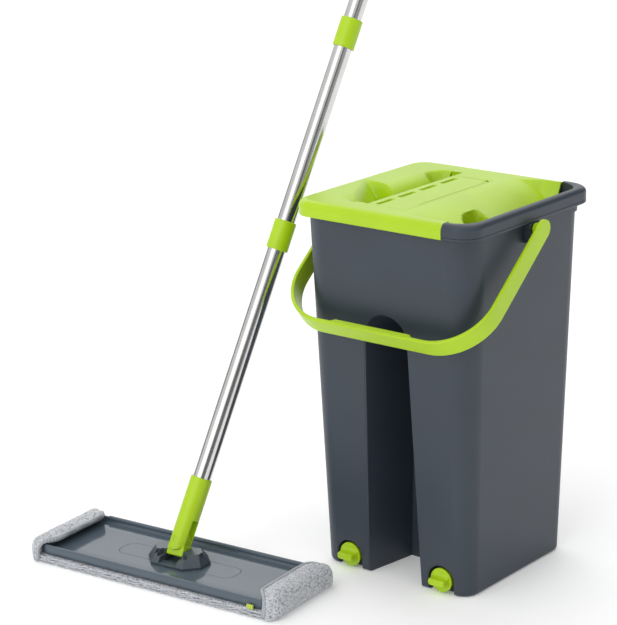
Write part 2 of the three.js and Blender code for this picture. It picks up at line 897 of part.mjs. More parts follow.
function makeSleeve() {
  const top = fromSwingPin(sleeveTop);
  const slotTop = fromSwingPin(forkSlotTop);
  const barrel = turned([
    [0, 0],
    [sleeveRadius, 0],
    [sleeveRadius, top - 1],
    [sleeveRadius - 1, top],
    [0, top],
  ]);
  const prongEnd = rod('z', sleeveRadius, 2 * sleeveRadius, 0, 0, -sleeveRadius).intersect(
    rod('y', forkHalfWidth, 4 * sleeveRadius, 0, -2 * sleeveRadius, 0, 36),
  );
  const flats = [-1, 1].map((sign) => {
    const x = sign * (forkHalfWidth + 10);
    return box(x - 10, x + 10, -20, 20, -20, slotTop);
  });
  const slot = box(-30, 30, -prongGap / 2, prongGap / 2, -30, slotTop);
  const bore = rod('z', tubeRadius + gap, top, 0, 0, fromSwingPin(tubeStart));
  const pinHole = rod('y', pinRadius + gap, 60, 0, -30, 0, 16);
  return cut(barrel.add(prongEnd), ...flats, slot, bore, pinHole);
}

const collarCentre = (i) => firstCollarCentre + collarPitch * i;
const collarStart = (i) => collarCentre(i) - collarLength / 2;

function makeTube(i) {
  const start = i === 0 ? tubeStart + gap : collarStart(i - 1) + collarLength / 2 + gap;
  const end = i === collarCount ? poleTop - 40 : collarStart(i) + 6;
  const length = end - start;
  const z = fromSwingPin(start);
  return cut(
    rod('z', tubeRadius, length, 0, 0, z),
    rod('z', tubeRadius - tubeWall, length + 4, 0, 0, z - 2),
  );
}

// Collar fixed in the upper tube, with a threaded spigot that screws into the lower tube's insert.
function makeCollar(i) {
  const start = fromSwingPin(collarStart(i));
  const mid = start + collarLength / 2;
  const outer = turned([
    [0, 0],
    [collarRadius - 0.8, 0],
    [collarRadius, 0.8],
    [collarRadius, collarLength - 0.8],
    [collarRadius - 0.8, collarLength],
    [0, collarLength],
  ]).translate([0, 0, start]);
  const lowerSocket = rod('z', tubeRadius + gap, 8 + gap, 0, 0, start - 2 + gap);
  const upperSocket = cut(
    rod('z', tubeRadius + gap, collarLength, 0, 0, mid),
    rod('z', tubeRadius - tubeWall - gap, collarLength, 0, 0, mid - 1),
  );
  const spigot = rod('z', threadRadius, threadLength, 0, 0, start - threadLength + 8);
  return cut(outer, lowerSocket, upperSocket).add(spigot);
}

// Threaded insert pressed into the upper end of each lower tube.
function makeThreadInsert(i) {
  const end = fromSwingPin(collarStart(i) + 6 - gap);
  const body = rod('z', insertWallRadius, insertLength, 0, 0, end - insertLength);
  return cut(body, rod('z', threadRadius + gap, insertLength, 0, 0, end - insertLength + 4));
}

function makeGrip() {
  const start = fromSwingPin(poleTop - gripLength);
  const end = fromSwingPin(poleTop);
  const body = turned([
    [0, start],
    [gripRadius - 1.6, start],
    [gripRadius, start + 4],
    [gripRadius - 1.2, (start + end) / 2],
    [gripRadius, end - 6],
    [gripRadius - 2, end],
    [0, end],
  ]);
  return cut(body, rod('z', tubeRadius + gap, gripLength - 40 + 2 * gap, 0, 0, start - gap));
}

function makeHangLoop() {
  const z = fromSwingPin(poleTop) + gap;
  const half = hangLoopThickness / 2;
  const loop = join(
    rod('y', hangLoopRadius, hangLoopThickness, 0, -half, z + hangLoopRadius + 1),
    box(-hangLoopRadius + 4, hangLoopRadius - 4, -half, half, z, z + hangLoopRadius),
  );
  return cut(loop, rod('y', hangHoleRadius, 40, 0, -20, z + hangLoopRadius + 1));
}

// ---------------------------------------------------------------- assembly
function piece(name, solid, material) {
  const mesh = new THREE.Mesh(toGeometry(solid), material);
  mesh.name = name;
  return mesh;
}

const degrees = THREE.MathUtils.degToRad;

const bucket = new THREE.Group();
bucket.add(
  piece('bucket_tub', makeTub(), slateGrey),
  piece('wringer_cover', makeCover(), limeGreen),
  piece('wringer_insert', makeInsert(), limeGreen),
  piece('scraper_strip', makeScraper(), sealBlack),
  piece('wash_rack', makeWashRack(), limeGreen),
  piece('drain_plug_left', makeDrainPlug(-1), limeGreen),
  piece('drain_plug_right', makeDrainPlug(1), limeGreen),
  piece('drain_seal_left', makeDrainSeal(-1), sealBlack),
  piece('drain_seal_right', makeDrainSeal(1), sealBlack),
);

const bail = piece('bail_handle', makeBail(), limeGreen);
bail.position.set(0, 0, bailPivotHeight);
bail.rotation.x = degrees(180 + bailAngleBelowLevel);
bucket.add(
  bail,
  piece('bail_pin_left', makeBailPin(-1), limeGreen),
  piece('bail_pin_right', makeBailPin(1), limeGreen),
);

const mopHead = new THREE.Group();
mopHead.position.set(mopX, mopY, 0);
mopHead.rotation.z = degrees(mopYaw);
screwPlaces().forEach((place, i) => {
  mopHead.add(piece(`bracket_screw_${i + 1}`, makeScrew(place), steel));
});
mopHead.add(
  piece('mop_plate', makePlate(), plateGrey),
  piece('joint_bracket', makeBracket(), bracketGrey),
  piece('tilt_pin', makeTiltPin(), steel),
  piece('mop_pad', makePad(), padGrey),
  piece('pad_pocket_left', makePocket(-1), padGrey),
  piece('pad_pocket_right', makePocket(1), padGrey),
  piece('pad_tab', makePadTab(), tabGreen),
);

const block = new THREE.Group();
block.position.set(0, 0, tiltPinHeight);
block.rotation.x = -degrees(restTilt);
const swingPin = piece('swing_pin', makeSwingPin(), steel);
swingPin.position.z = swingPinOffset;
block.add(piece('cross_block', makeCrossBlock(), limeGreen), swingPin);
mopHead.add(block);

const pole = new THREE.Group();
pole.position.z = swingPinOffset;
pole.rotation.y = degrees(restSwing);
pole.add(piece('fork_sleeve', makeSleeve(), limeGreen));
for (let i = 0; i <= collarCount; i += 1) {
  pole.add(piece(`pole_tube_${i + 1}`, makeTube(i), steel));
}
for (let i = 0; i < collarCount; i += 1) {
  pole.add(piece(`pole_collar_${i + 1}`, makeCollar(i), limeGreen));
  pole.add(piece(`thread_insert_${i + 1}`, makeThreadInsert(i), bracketGrey));
}
pole.add(piece('hand_grip', makeGrip(), limeGreen), piece('hang_loop', makeHangLoop(), limeGreen));
block.add(pole);

const object = new THREE.Group();
object.add(bucket, mopHead);
object.updateMatrixWorld(true);

export default object;
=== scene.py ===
"""Visible model of a two-well mop bucket with a slotted wringer cover, and its flat mop."""
import json
import math

import bmesh
import bpy
from bpy.props import FloatProperty, FloatVectorProperty, IntProperty, PointerProperty
from mathutils import Matrix, Vector, noise


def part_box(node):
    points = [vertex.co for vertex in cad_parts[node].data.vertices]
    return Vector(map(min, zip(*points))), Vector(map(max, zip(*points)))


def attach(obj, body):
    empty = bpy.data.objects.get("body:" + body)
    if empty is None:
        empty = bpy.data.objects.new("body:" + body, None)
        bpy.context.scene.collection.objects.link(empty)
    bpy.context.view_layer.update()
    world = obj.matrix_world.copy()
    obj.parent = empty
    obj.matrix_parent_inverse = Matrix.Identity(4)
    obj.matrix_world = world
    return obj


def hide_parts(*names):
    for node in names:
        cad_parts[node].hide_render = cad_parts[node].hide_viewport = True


bl_info = {
    "name": "Mop and Wringer Bucket",
    "version": (1, 0, 0),
    "blender": (4, 5, 0),
    "location": "3D View > Sidebar > Mop Bucket",
    "description": "Builds the visible pieces of a mop bucket and its flat mop on the packed frame",
    "category": "Add Mesh",
}

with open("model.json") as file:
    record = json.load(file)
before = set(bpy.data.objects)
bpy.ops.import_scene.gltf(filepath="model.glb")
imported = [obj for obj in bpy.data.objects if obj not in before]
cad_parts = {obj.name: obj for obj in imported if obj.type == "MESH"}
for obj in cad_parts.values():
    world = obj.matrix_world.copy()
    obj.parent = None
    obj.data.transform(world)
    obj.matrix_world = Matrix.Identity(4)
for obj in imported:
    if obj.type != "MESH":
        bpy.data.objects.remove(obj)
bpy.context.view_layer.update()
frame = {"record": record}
MM = 0.001
JOINTS = {joint["name"]: joint for joint in frame["record"]["behaviour"]["joints"]}


# ------------------------------------------------------------------ sizes and colours
def length(name, description, millimetres):
    """A length property, given in millimetres and stored in metres."""
    return FloatProperty(
        name=name, description=description, default=millimetres * MM, unit="LENGTH", precision=4
    )


def angle(name, description, degrees):
    """An angle property, given in degrees and stored in radians."""
    return FloatProperty(
        name=name, description=description, default=math.radians(degrees), subtype="ANGLE"
    )


def linear(hex_colour):
    """Linear RGB of an sRGB hex colour."""
    channels = [int(hex_colour[i : i + 2], 16) / 255 for i in (1, 3, 5)]
    return tuple(c / 12.92 if c <= 0.04045 else ((c + 0.055) / 1.055) ** 2.4 for c in channels)


def colour(name, description, hex_colour):
    """A colour property, given as an sRGB hex value."""
    return FloatVectorProperty(
        name=name, description=description, default=linear(hex_colour), subtype="COLOR", size=3
    )


class MopTubSizes(bpy.types.PropertyGroup):
    base_width: length("Base width", "Width of the tub at the floor", 189.7)
    base_depth: length("Base depth", "Depth of the tub at the floor", 180.6)
    top_width: length("Top width", "Width of the tub just under its rim", 214.5)
    top_depth: length("Top depth", "Depth of the tub just under its rim", 215.8)
    rim_underside: length("Rim underside", "Height of the rim's underside", 388)
    rim_top: length("Rim top", "Height of the rim's top", 405)
    rim_overhang: length("Rim overhang", "How far the rim stands out from the wall", 6.1)
    lip_top: length("Lip top", "Height of the plain lip under the cover", 400.6)
    wall: length("Wall", "Wall thickness", 3)
    corner: length("Corner radius", "Radius of the upright corners under the rim", 30)
    base_corner: length("Base corner radius", "Radius of the upright corners at the floor", 18)
    rim_corner: length("Rim corner radius", "Radius of the rim's outer corners", 23)
    foot_round: length("Foot rounding", "Rounding of the bottom edge", 5)
    recess_bottom: length("Recess bottom", "Half width of the recess at the floor", 36)
    recess_top: length("Recess top", "Half width of the recess where its arch starts", 28)
    recess_spring: length("Recess spring", "Height where the arch starts", 270)
    recess_rise: length("Recess rise", "Rise of the arch", 26)
    recess_lip: length("Recess lip", "Rounding of the recess's lip", 1.6)
    recess_taper: length("Recess taper", "How much each wall of the recess leans in by the web", 10.5)
    web: length("Web", "Half thickness of the web between the recesses", 25.5)
    drain_x: length("Drain place", "Distance of each drain from the middle", 60)
    drain_z: length("Drain height", "Height of the drains", 14.4)
    niche: length("Niche", "Half width of a drain niche", 17)
    niche_depth: length("Niche depth", "Depth of a drain niche at the floor", 10)


class MopCoverSizes(bpy.types.PropertyGroup):
    plateau: length("Plateau", "Height of the cover's flat top", 404.4)
    shell: length("Shell", "Thickness of the cover", 2.3)
    right_end: length("Right end", "Where the cover stops, at the wash well", 78)
    edge_round: length("Edge rounding", "Rounding of the cover's outer edge", 8)
    slot_left: length("Slot left", "Outer side of the wringing slot", -50)
    slot_right: length("Slot right", "Inner side of the wringing slot", -34)
    slot_half: length("Slot half length", "Half the length of the wringing slot", 84)
    slot_depth: length("Slot depth", "How far the slot's wall reaches down", 102)
    roll_start: length("Roll start", "Where the cover starts to roll into the slot", -76)
    roll_drop: length("Roll drop", "Depth of the rolled edge at the slot", 23)
    bowl_depth: length("Bowl depth", "Depth of the front bowl", 24)
    ramp_start: length("Ramp start", "Where the ramp to the wash well starts", 25)
    ramp_drop: length("Ramp drop", "Fall of the ramp at the wash well", 30)
    insert_right: length("Insert right", "Right edge of the clip-in insert", 15)
    insert_front: length("Insert front", "Front edge of the clip-in insert", -86)
    insert_back: length("Insert back", "Back edge of the clip-in insert", 70)
    grid: length("Grid", "Spacing of the cover's mesh", 2)


class MopBailSizes(bpy.types.PropertyGroup):
    pivot_z: length("Pivot height", "Height of the bail's pivots", 381.4)
    below_level: angle("Rest angle", "Rest angle below level", 39.4)
    reach: length("Reach", "Distance from the pivots to the bar's outer face", 163.6)
    half_width: length("Half width", "Half the width over the arms", 125.8)
    bend: length("Bend", "Radius of the bail's corners", 58.4)
    strip: length("Strip", "Width of the strip", 21.4)
    thickness: length("Thickness", "Thickness of the strip", 4.2)
    grip_half: length("Grip half length", "Half the length of the grip", 54)
    grip_rise: length("Grip rise", "How far the grip stands inwards", 3.6)
    nubs: IntProperty(name="Nubs", description="Ribs across the grip", default=17)
    nub_pitch: length("Nub pitch", "Distance between ribs", 5.8)


class MopHeadSizes(bpy.types.PropertyGroup):
    yaw: angle("Yaw", "Turn of the parked mop", 5)
    plate_length: length("Plate length", "Length of the plate", 304)
    plate_width: length("Plate width", "Width of the plate", 105)
    plate_bottom: length("Plate bottom", "Height of the plate's underside", 8.8)
    plate_top: length("Plate top", "Height of the plate's rim", 19.6)
    tray: length("Tray", "Height of the plate's floor", 13.8)
    rim: length("Plate rim", "Width of the plate's rim", 5)
    pad_length: length("Pad length", "Length of the pad", 324)
    pad_width: length("Pad width", "Width of the pad", 114)
    pad_top: length("Pad top", "Height of the pad's top", 8.4)
    pocket_top: length("Pocket top", "Height of the pockets", 27.5)
    pocket_reach: length("Pocket reach", "How far a pocket reaches over the plate", 26)
    yarn: length("Yarn", "Thickness of one pile strand", 1.7)


class MopPoleSizes(bpy.types.PropertyGroup):
    tilt: angle("Tilt", "Rest lean to the back", 24.5)
    swing: angle("Swing", "Rest lean along the plate", 7)
    pin_offset: length("Pin offset", "Distance between the two joint pins", 12)
    tube: length("Tube radius", "Radius of the steel tube", 10)
    sleeve: length("Sleeve radius", "Radius of the green sleeve", 11.75)
    sleeve_top: length("Sleeve top", "Top of the sleeve along the pole", 82)
    fork_top: length("Fork top", "Top of the fork's opening along the pole", 36)
    collar: length("Collar radius", "Radius of a connector", 12)
    collar_length: length("Collar length", "Length of a connector", 32.5)
    first_collar: length("First collar", "Middle of the first connector along the pole", 355.3)
    collar_pitch: length("Collar pitch", "Distance between connectors", 228.4)
    collars: IntProperty(name="Collars", description="Number of connectors", default=4)
    top: length("Top", "Top of the grip along the pole", 1240)
    grip_length: length("Grip length", "Length of the top grip", 150)
    grip: length("Grip radius", "Radius of the top grip", 13.4)


class MopColours(bpy.types.PropertyGroup):
    slate: colour("Slate", "Tub", "#313A45")
    lime: colour("Lime", "Cover, bail and fittings", "#ADD10E")
    plate: colour("Plate", "Mop plate", "#515D68")
    bracket: colour("Bracket", "Joint bracket", "#48525A")
    pad: colour("Pad", "Light yarn of the pad", "#D2D5DB")
    tape: colour("Tape", "Binding of the pad", "#B4B8BE")
    tab: colour("Tab", "Small tab on the pad", "#C6DA4E")


SIZE_GROUPS = {
    "mop_tub": MopTubSizes,
    "mop_cover": MopCoverSizes,
    "mop_bail": MopBailSizes,
    "mop_head": MopHeadSizes,
    "mop_pole": MopPoleSizes,
    "mop_colours": MopColours,
}


class Millimetres:
    """Reads a property group's lengths in millimetres."""

    def __init__(self, group):
        self.group = group

    def __getattr__(self, name):
        value = getattr(self.group, name)
        unit = self.group.bl_rna.properties[name].unit
        return value / MM if unit == "LENGTH" else value


def sizes(context, name):
    return Millimetres(getattr(context.scene, name))


# ------------------------------------------------------------------ mesh helpers
def make_object(name, points, faces):
    """A mesh object from points in millimetres, with its faces turned outwards."""
    mesh = bpy.data.meshes.new(name)
    mesh.from_pydata([Vector(p) * MM for p in points], [], faces)
    work = bmesh.new()
    work.from_mesh(mesh)
    bmesh.ops.remove_doubles(work, verts=work.verts, dist=1e-7)
    bmesh.ops.recalc_face_normals(work, faces=work.faces)
    work.to_mesh(mesh)
    work.free()
    made = bpy.data.objects.new(name, mesh)
    bpy.context.scene.collection.objects.link(made)
    return made


def loft(name, rings, wrap=False):
    """A closed skin through rings that have the same number of points."""
    count = len(rings[0])
    faces = []
    for r in range(len(rings) if wrap else len(rings) - 1):
        here, there = r * count, (r + 1) % len(rings) * count
        for i in range(count):
            j = (i + 1) % count
            faces.append((here + i, here + j, there + j, there + i))
    if not wrap:
        faces.append(tuple(reversed(range(count))))
        faces.append(tuple((len(rings) - 1) * count + i for i in range(count)))
    return make_object(name, [p for ring in rings for p in ring], faces)


def rounded_ring(half_x, half_y, radius, z, steps=10):
    """Rounded rectangle at height z, anticlockwise from above."""
    points = []
    for sx, sy, start in ((1, 1, 0), (-1, 1, 90), (-1, -1, 180), (1, -1, 270)):
        for i in range(steps + 1):
            a = math.radians(start + 90 * i / steps)
            x = sx * (half_x - radius) + radius * math.cos(a)
            y = sy * (half_y - radius) + radius * math.sin(a)
            points.append((x, y, z))
    return points


def block(name, x0, x1, y0, y1, z0, z1):
    """A box between two corners."""
    half_x, half_y = (x1 - x0) / 2, (y1 - y0) / 2
    middle_x, middle_y = (x0 + x1) / 2, (y0 + y1) / 2
    corners = [(-half_x, -half_y), (half_x, -half_y), (half_x, half_y), (-half_x, half_y)]
    return loft(name, [[(middle_x + x, middle_y + y, z) for x, y in corners] for z in (z0, z1)])


def turned(name, profile, sides=48, axis="z", at=(0, 0, 0)):
    """A solid of revolution from (radius, height) pairs, about an axis through a point."""
    rings = []
    for radius, height in profile:
        ring = []
        for i in range(sides):
            a = math.tau * i / sides
            c, s = radius * math.cos(a), radius * math.sin(a)
            local = {"x": (height, c, s), "y": (c, height, s), "z": (c, s, height)}[axis]
            ring.append(tuple(p + q for p, q in zip(local, at)))
        rings.append(ring)
    return loft(name, rings)


def arc(centre, radius, start, end, steps):
    """Points (u, v) on an arc, angles in degrees."""
    points = []
    for i in range(steps + 1):
        a = math.radians(start + (end - start) * i / steps)
        points.append((centre[0] + radius * math.cos(a), centre[1] + radius * math.sin(a)))
    return points


def drum(radius, start, end, rounding, steps=4):
    """Profile of a cylinder whose two edges are rounded."""
    low = arc((radius - rounding, start + rounding), rounding, -90, 0, steps)
    high = arc((radius - rounding, end - rounding), rounding, 0, 90, steps)
    return low + high


def apply_modifiers(made):
    graph = bpy.context.evaluated_depsgraph_get()
    mesh = bpy.data.meshes.new_from_object(made.evaluated_get(graph))
    made.modifiers.clear()
    old, made.data = made.data, mesh
    bpy.data.meshes.remove(old)
    return made


def combine(body, operation, *tools):
    """Joins or cuts a body with tools, which are used up."""
    for tool in tools:
        step = body.modifiers.new("combine", "BOOLEAN")
        step.operation = operation
        step.solver = "EXACT"
        step.object = tool
    apply_modifiers(body)
    for tool in tools:
        bpy.data.objects.remove(tool)
    return body


def cut(body, *tools):
    return combine(body, "DIFFERENCE", *tools)


def join(body, *tools):
    return combine(body, "UNION", *tools)


def soften(made, width, angle=35, segments=3):
    """Rounds the edges that are sharper than an angle."""
    step = made.modifiers.new("soften", "BEVEL")
    step.width = width * MM
    step.segments = segments
    step.limit_method = "ANGLE"
    step.angle_limit = math.radians(angle)
    step.use_clamp_overlap = True
    return apply_modifiers(made)


def shade(made, angle=32):
    """Smooth shading that keeps flat faces flat and true edges sharp."""
    mesh = made.data
    mesh.polygons.foreach_set("use_smooth", [True] * len(mesh.polygons))
    mesh.set_sharp_from_angle(angle=math.radians(angle))
    step = made.modifiers.new("even shading", "WEIGHTED_NORMAL")
    step.keep_sharp = True
    return made


def finish_piece(made, body, slot_name, material, *nodes):
    """Gives a piece its finish and lets it ride on its body in place of its nodes."""
    made.data.materials.clear()
    made.data.materials.append(material)
    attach(made, body)
    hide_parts(*nodes)
    return made


def place(made, matrix):
    """Moves a piece's mesh by a matrix whose translation is in millimetres."""
    metres = matrix.copy()
    metres.translation *= MM
    made.data.transform(metres)
    made.data.update()
    return made


def blend_step(t):
    """Smooth step from 0 to 1."""
    t = min(max(t, 0.0), 1.0)
    return t * t * (3 - 2 * t)


# ------------------------------------------------------------------ materials
def add_node(material, kind, settings=None, links=None):
    """Adds one shader node; settings are its properties or inputs, links its input sockets."""
    node = material.node_tree.nodes.new(kind)
    for name, value in (settings or {}).items():
        if isinstance(name, str) and hasattr(node, name):
            setattr(node, name, value)
        else:
            node.inputs[name].default_value = value
    for name, socket in (links or {}).items():
        material.node_tree.links.new(socket, node.inputs[name])
    return node


def ramp(material, factor, stops):
    """A colour ramp of (position, linear colour) stops."""
    node = add_node(material, "ShaderNodeValToRGB", links={"Fac": factor})
    elements = node.color_ramp.elements
    for _ in stops[2:]:
        elements.new(0.5)
    for element, (position, value) in zip(elements, stops):
        element.position = position
        element.color = (*value, 1)
    return node.outputs["Color"]


def new_material(name, settings):
    material = bpy.data.materials.new(name)
    material.use_nodes = True
    material.node_tree.nodes.clear()
    shader = add_node(material, "ShaderNodeBsdfPrincipled", settings)
    add_node(material, "ShaderNodeOutputMaterial", links={"Surface": shader.outputs["BSDF"]})
    places = add_node(material, "ShaderNodeTexCoord").outputs["Object"]
    return material, shader, places


def scaled(rgb, factor):
    return tuple(min(c * factor, 1.0) for c in rgb)


def texture(material, places, kind, size_mm, **settings):
    """A procedural texture whose features are about size_mm across."""
    values = {"Scale": 1 / (size_mm * MM), **settings}
    return add_node(material, f"ShaderNodeTex{kind}", values, {"Vector": places})


def roughness_range(material, value, dark, low, light, high):
    """Roughness that follows a texture's value between two levels."""
    limits = {"From Min": dark, "From Max": light, "To Min": low, "To Max": high}
    return add_node(material, "ShaderNodeMapRange", limits, {"Value": value}).outputs["Result"]


def relief(material, height, strength, depth_mm, invert=False):
    """Fine relief of the surface that follows a texture's value."""
    settings = {"Strength": strength, "Distance": depth_mm * MM, "invert": invert}
    return add_node(material, "ShaderNodeBump", settings, {"Height": height}).outputs["Normal"]


def wire(material, shader, **sockets):
    """Feeds the shader's inputs; names are written with underscores for spaces."""
    for name, socket in sockets.items():
        material.node_tree.links.new(socket, shader.inputs[name.replace("_", " ")])
    return material


def moulded_plastic(name, rgb, roughness, grain_mm, grain_depth, mottle):
    """Injection-moulded plastic: satin, with a fine spark-eroded grain and faint flow mottling."""
    settings = {"IOR": 1.49, "Roughness": roughness}
    material, shader, places = new_material(name, settings)
    # The real grain is about 0.2 mm and wouldn't show, so it is drawn coarser.
    grain = texture(material, places, "Noise", grain_mm, Detail=3.0, Roughness=0.6).outputs["Fac"]
    flow = texture(material, places, "Noise", 55, Detail=2.0).outputs["Fac"]
    tint = ramp(material, flow, [(0.3, scaled(rgb, 1 - mottle)), (0.7, scaled(rgb, 1 + mottle))])
    rough = roughness_range(material, grain, 0.3, roughness - 0.05, 0.7, roughness + 0.06)
    bump = relief(material, grain, 0.35, grain_depth)
    return wire(material, shader, Base_Color=tint, Roughness=rough, Normal=bump)


def polished_steel(name):
    """Rolled stainless tube, polished bright: sharp reflections, hair-fine lines along its length."""
    settings = {"Base Color": (0.63, 0.63, 0.62, 1), "Metallic": 1.0, "Roughness": 0.12}
    material, shader, places = new_material(name, settings)
    lines = texture(material, places, "Noise", 1.2, Detail=2.0).outputs["Fac"]
    rough = roughness_range(material, lines, 0.35, 0.08, 0.65, 0.16)
    smudge = texture(material, places, "Noise", 40, Detail=3.0).outputs["Fac"]
    tint = ramp(material, smudge, [(0.3, (0.56, 0.56, 0.55)), (0.7, (0.68, 0.68, 0.67))])
    return wire(material, shader, Roughness=rough, Base_Color=tint)


def zinc_plated_steel(name):
    """Zinc-plated pins and screws: duller and bluer than the tube."""
    material, shader, places = new_material(name, {"Metallic": 1.0, "Roughness": 0.32})
    spangle = texture(material, places, "Voronoi", 1.4).outputs["Distance"]
    tint = ramp(material, spangle, [(0.1, (0.48, 0.5, 0.53)), (0.9, (0.66, 0.67, 0.7))])
    return wire(material, shader, Base_Color=tint)


def seal_rubber(name):
    """Moulded EPDM: nearly black, matte, with a dusty bloom."""
    material, shader, places = new_material(name, {"Roughness": 0.78, "IOR": 1.52})
    bloom = texture(material, places, "Noise", 2.5, Detail=4.0).outputs["Fac"]
    tint = ramp(material, bloom, [(0.35, linear("#1C1E20")), (0.75, linear("#3A3D40"))])
    return wire(material, shader, Base_Color=tint)


def pile_yarn(name, rgb):
    """Looped microfibre: pale heather loops with painted shade in the gaps between them, no gloss, a
    soft sheen.
    """
    settings = {"Roughness": 0.95, "IOR": 1.4, "Sheen Weight": 0.35, "Sheen Roughness": 0.6}
    material, shader, places = new_material(name, settings)
    tree = material.node_tree.links
    warp = texture(material, places, "Noise", 9, Detail=2.0)
    sideways = {"operation": "MULTIPLY_ADD", 1: (0.004, 0.004, 0.004)}
    bent = add_node(material, "ShaderNodeVectorMath", sideways)
    tree.new(warp.outputs["Color"], bent.inputs[0])
    tree.new(places, bent.inputs[2])
    # Real loops are about 1.2 mm across; these are 1.6 mm so that they show.
    loops = texture(material, bent.outputs["Vector"], "Voronoi", 1.6, Randomness=1.0)
    fleck = texture(material, places, "Noise", 3.2, Detail=4.0, Roughness=0.7)
    # Darker away from each loop's middle: painted shade in the gaps between loops, mixed with the
    # heather's own flecks.
    depth = add_node(material, "ShaderNodeMath", {"operation": "MULTIPLY_ADD", 1: 0.6})
    tree.new(loops.outputs["Distance"], depth.inputs[0])
    tree.new(fleck.outputs["Fac"], depth.inputs[2])
    value = depth.outputs["Value"]
    gap_shade_and_fleck = [(0.55, 1.0), (0.82, 0.84), (0.95, 0.5), (1.0, 0.36)]
    tint = ramp(material, value, [(at, scaled(rgb, factor)) for at, factor in gap_shade_and_fleck])
    bump = relief(material, value, 0.8, 1.0, invert=True)
    return wire(material, shader, Base_Color=tint, Normal=bump)


def loose_yarn(name, rgb):
    """Loose microfibre yarn: matte, pale, twisted, with a soft edge."""
    settings = {"Roughness": 0.95, "IOR": 1.4, "Sheen Weight": 0.3, "Sheen Roughness": 0.6}
    material, shader, places = new_material(name, settings)
    twist = texture(material, places, "Noise", 1.6, Detail=3.0, Roughness=0.7).outputs["Fac"]
    tint = ramp(material, twist, [(0.34, scaled(rgb, 0.42)), (0.58, scaled(rgb, 0.95))])
    bump = relief(material, twist, 0.6, 0.5)
    return wire(material, shader, Base_Color=tint, Normal=bump)


def woven_tape(name, rgb):
    """Woven polyester tape: a fine rib across it and a slight sheen."""
    settings = {"Roughness": 0.82, "IOR": 1.45, "Sheen Weight": 0.25, "Sheen Roughness": 0.5}
    material, shader, places = new_material(name, settings)
    # Threads are 0.5 mm apart, drawn at 1.1 mm so that they show.
    pitch = 1.1 * math.tau
    threads = texture(material, places, "Wave", pitch, Distortion=1.5, Detail=2.0).outputs["Fac"]
    tint = ramp(material, threads, [(0.1, scaled(rgb, 0.72)), (0.8, rgb)])
    bump = relief(material, threads, 0.5, 0.4)
    return wire(material, shader, Base_Color=tint, Normal=bump)


def finish_for(context, name):
    """The object's finishes by name, each made once."""
    if name in bpy.data.materials:
        return bpy.data.materials[name]
    colours = context.scene.mop_colours
    makers = {
        "Polypropylene_satin_slate": (moulded_plastic, colours.slate, 0.42, 1.3, 0.12, 0.05),
        "Polypropylene_semi_gloss_lime": (moulded_plastic, colours.lime, 0.33, 1.6, 0.1, 0.04),
        "ABS_semi_gloss_grey": (moulded_plastic, colours.plate, 0.11, 2.6, 0.03, 0.04),
        "ABS_satin_dark_grey": (moulded_plastic, colours.bracket, 0.22, 1.4, 0.06, 0.05),
        "Stainless_steel_polished": (polished_steel,),
        "Steel_zinc_plated": (zinc_plated_steel,),
        "EPDM_rubber_moulded": (seal_rubber,),
        "Microfibre_looped_pile": (pile_yarn, colours.pad),
        "Microfibre_yarn": (loose_yarn, colours.pad),
        "Polyester_tape_grey": (woven_tape, colours.tape),
        "Polyester_tape_green": (woven_tape, colours.tab),
    }
    maker, *values = makers[name]
    if values:
        values[0] = tuple(values[0])
    return maker(name, *values)


SLATE = "Polypropylene_satin_slate"
LIME = "Polypropylene_semi_gloss_lime"
DARK = "ABS_satin_dark_grey"
RUBBER = "EPDM_rubber_moulded"
ZINC = "Steel_zinc_plated"
CLEARANCE = 0.35


# ------------------------------------------------------------------ tub
def tub_half(tub, z):
    """Half width and half depth of the tub's outside at height z."""
    t = z / tub.rim_underside
    half_x = tub.base_width / 2 + (tub.top_width - tub.base_width) / 2 * t
    half_y = tub.base_depth / 2 + (tub.top_depth - tub.base_depth) / 2 * t
    return half_x, half_y


def tub_corner(tub, z):
    """Radius of the tub's upright corners at height z."""
    return tub.base_corner + (tub.corner - tub.base_corner) * z / tub.rim_underside


def tub_body(tub, name, grow, bottom, top):
    """Tapered body with a rounded bottom edge, moved outwards by grow."""
    rings = []
    for i in range(9):
        a = math.radians(90 * i / 8)
        inset = tub.foot_round * (1 - math.sin(a)) - grow
        z = bottom + tub.foot_round * (1 - math.cos(a))
        half_x, half_y = tub_half(tub, z)
        rings.append(rounded_ring(half_x - inset, half_y - inset, tub_corner(tub, z) - inset, z))
    half_x, half_y = tub_half(tub, top)
    rings.append(rounded_ring(half_x + grow, half_y + grow, tub_corner(tub, top) + grow, top))
    return loft(name, rings)


def arch_tool(tub, name, x, side, shape, lip, taper, back, grow=0.0):
    """Arched cut into the tub's front or back face: rounded lip, walls that lean in to the back."""
    bottom, spring_half, spring, rise = shape

    def ring(inset, depth=None):
        points = []
        outline = [(bottom - inset, -5)]
        for i in range(33):
            a = math.pi * i / 32
            outline.append(
                ((spring_half - inset) * math.cos(a), spring + (rise - inset) * math.sin(a))
            )
        outline.append((-(bottom - inset), -5))
        for u, z in outline:
            y = side * (tub_half(tub, max(z, 0))[1] - depth) if depth is not None else side * back
            points.append((x + u, y, z))
        return points

    rings = [ring(-grow, -8)]
    for i in range(6):
        a = math.radians(90 * i / 5)
        rings.append(ring(lip * math.sin(a) - grow, 0.3 + lip * (1 - math.cos(a))))
    rings.append(ring(taper - grow))
    return loft(name, rings)


def rim_loop(tub, name, profile, corner):
    """A closed section swept round the tub's mouth; profile holds (outward offset, height)."""
    half_x, half_y = tub.top_width / 2, tub.top_depth / 2
    rings = [rounded_ring(half_x + o, half_y + o, corner(o), z, 14) for o, z in profile]
    return loft(name, rings, wrap=True)


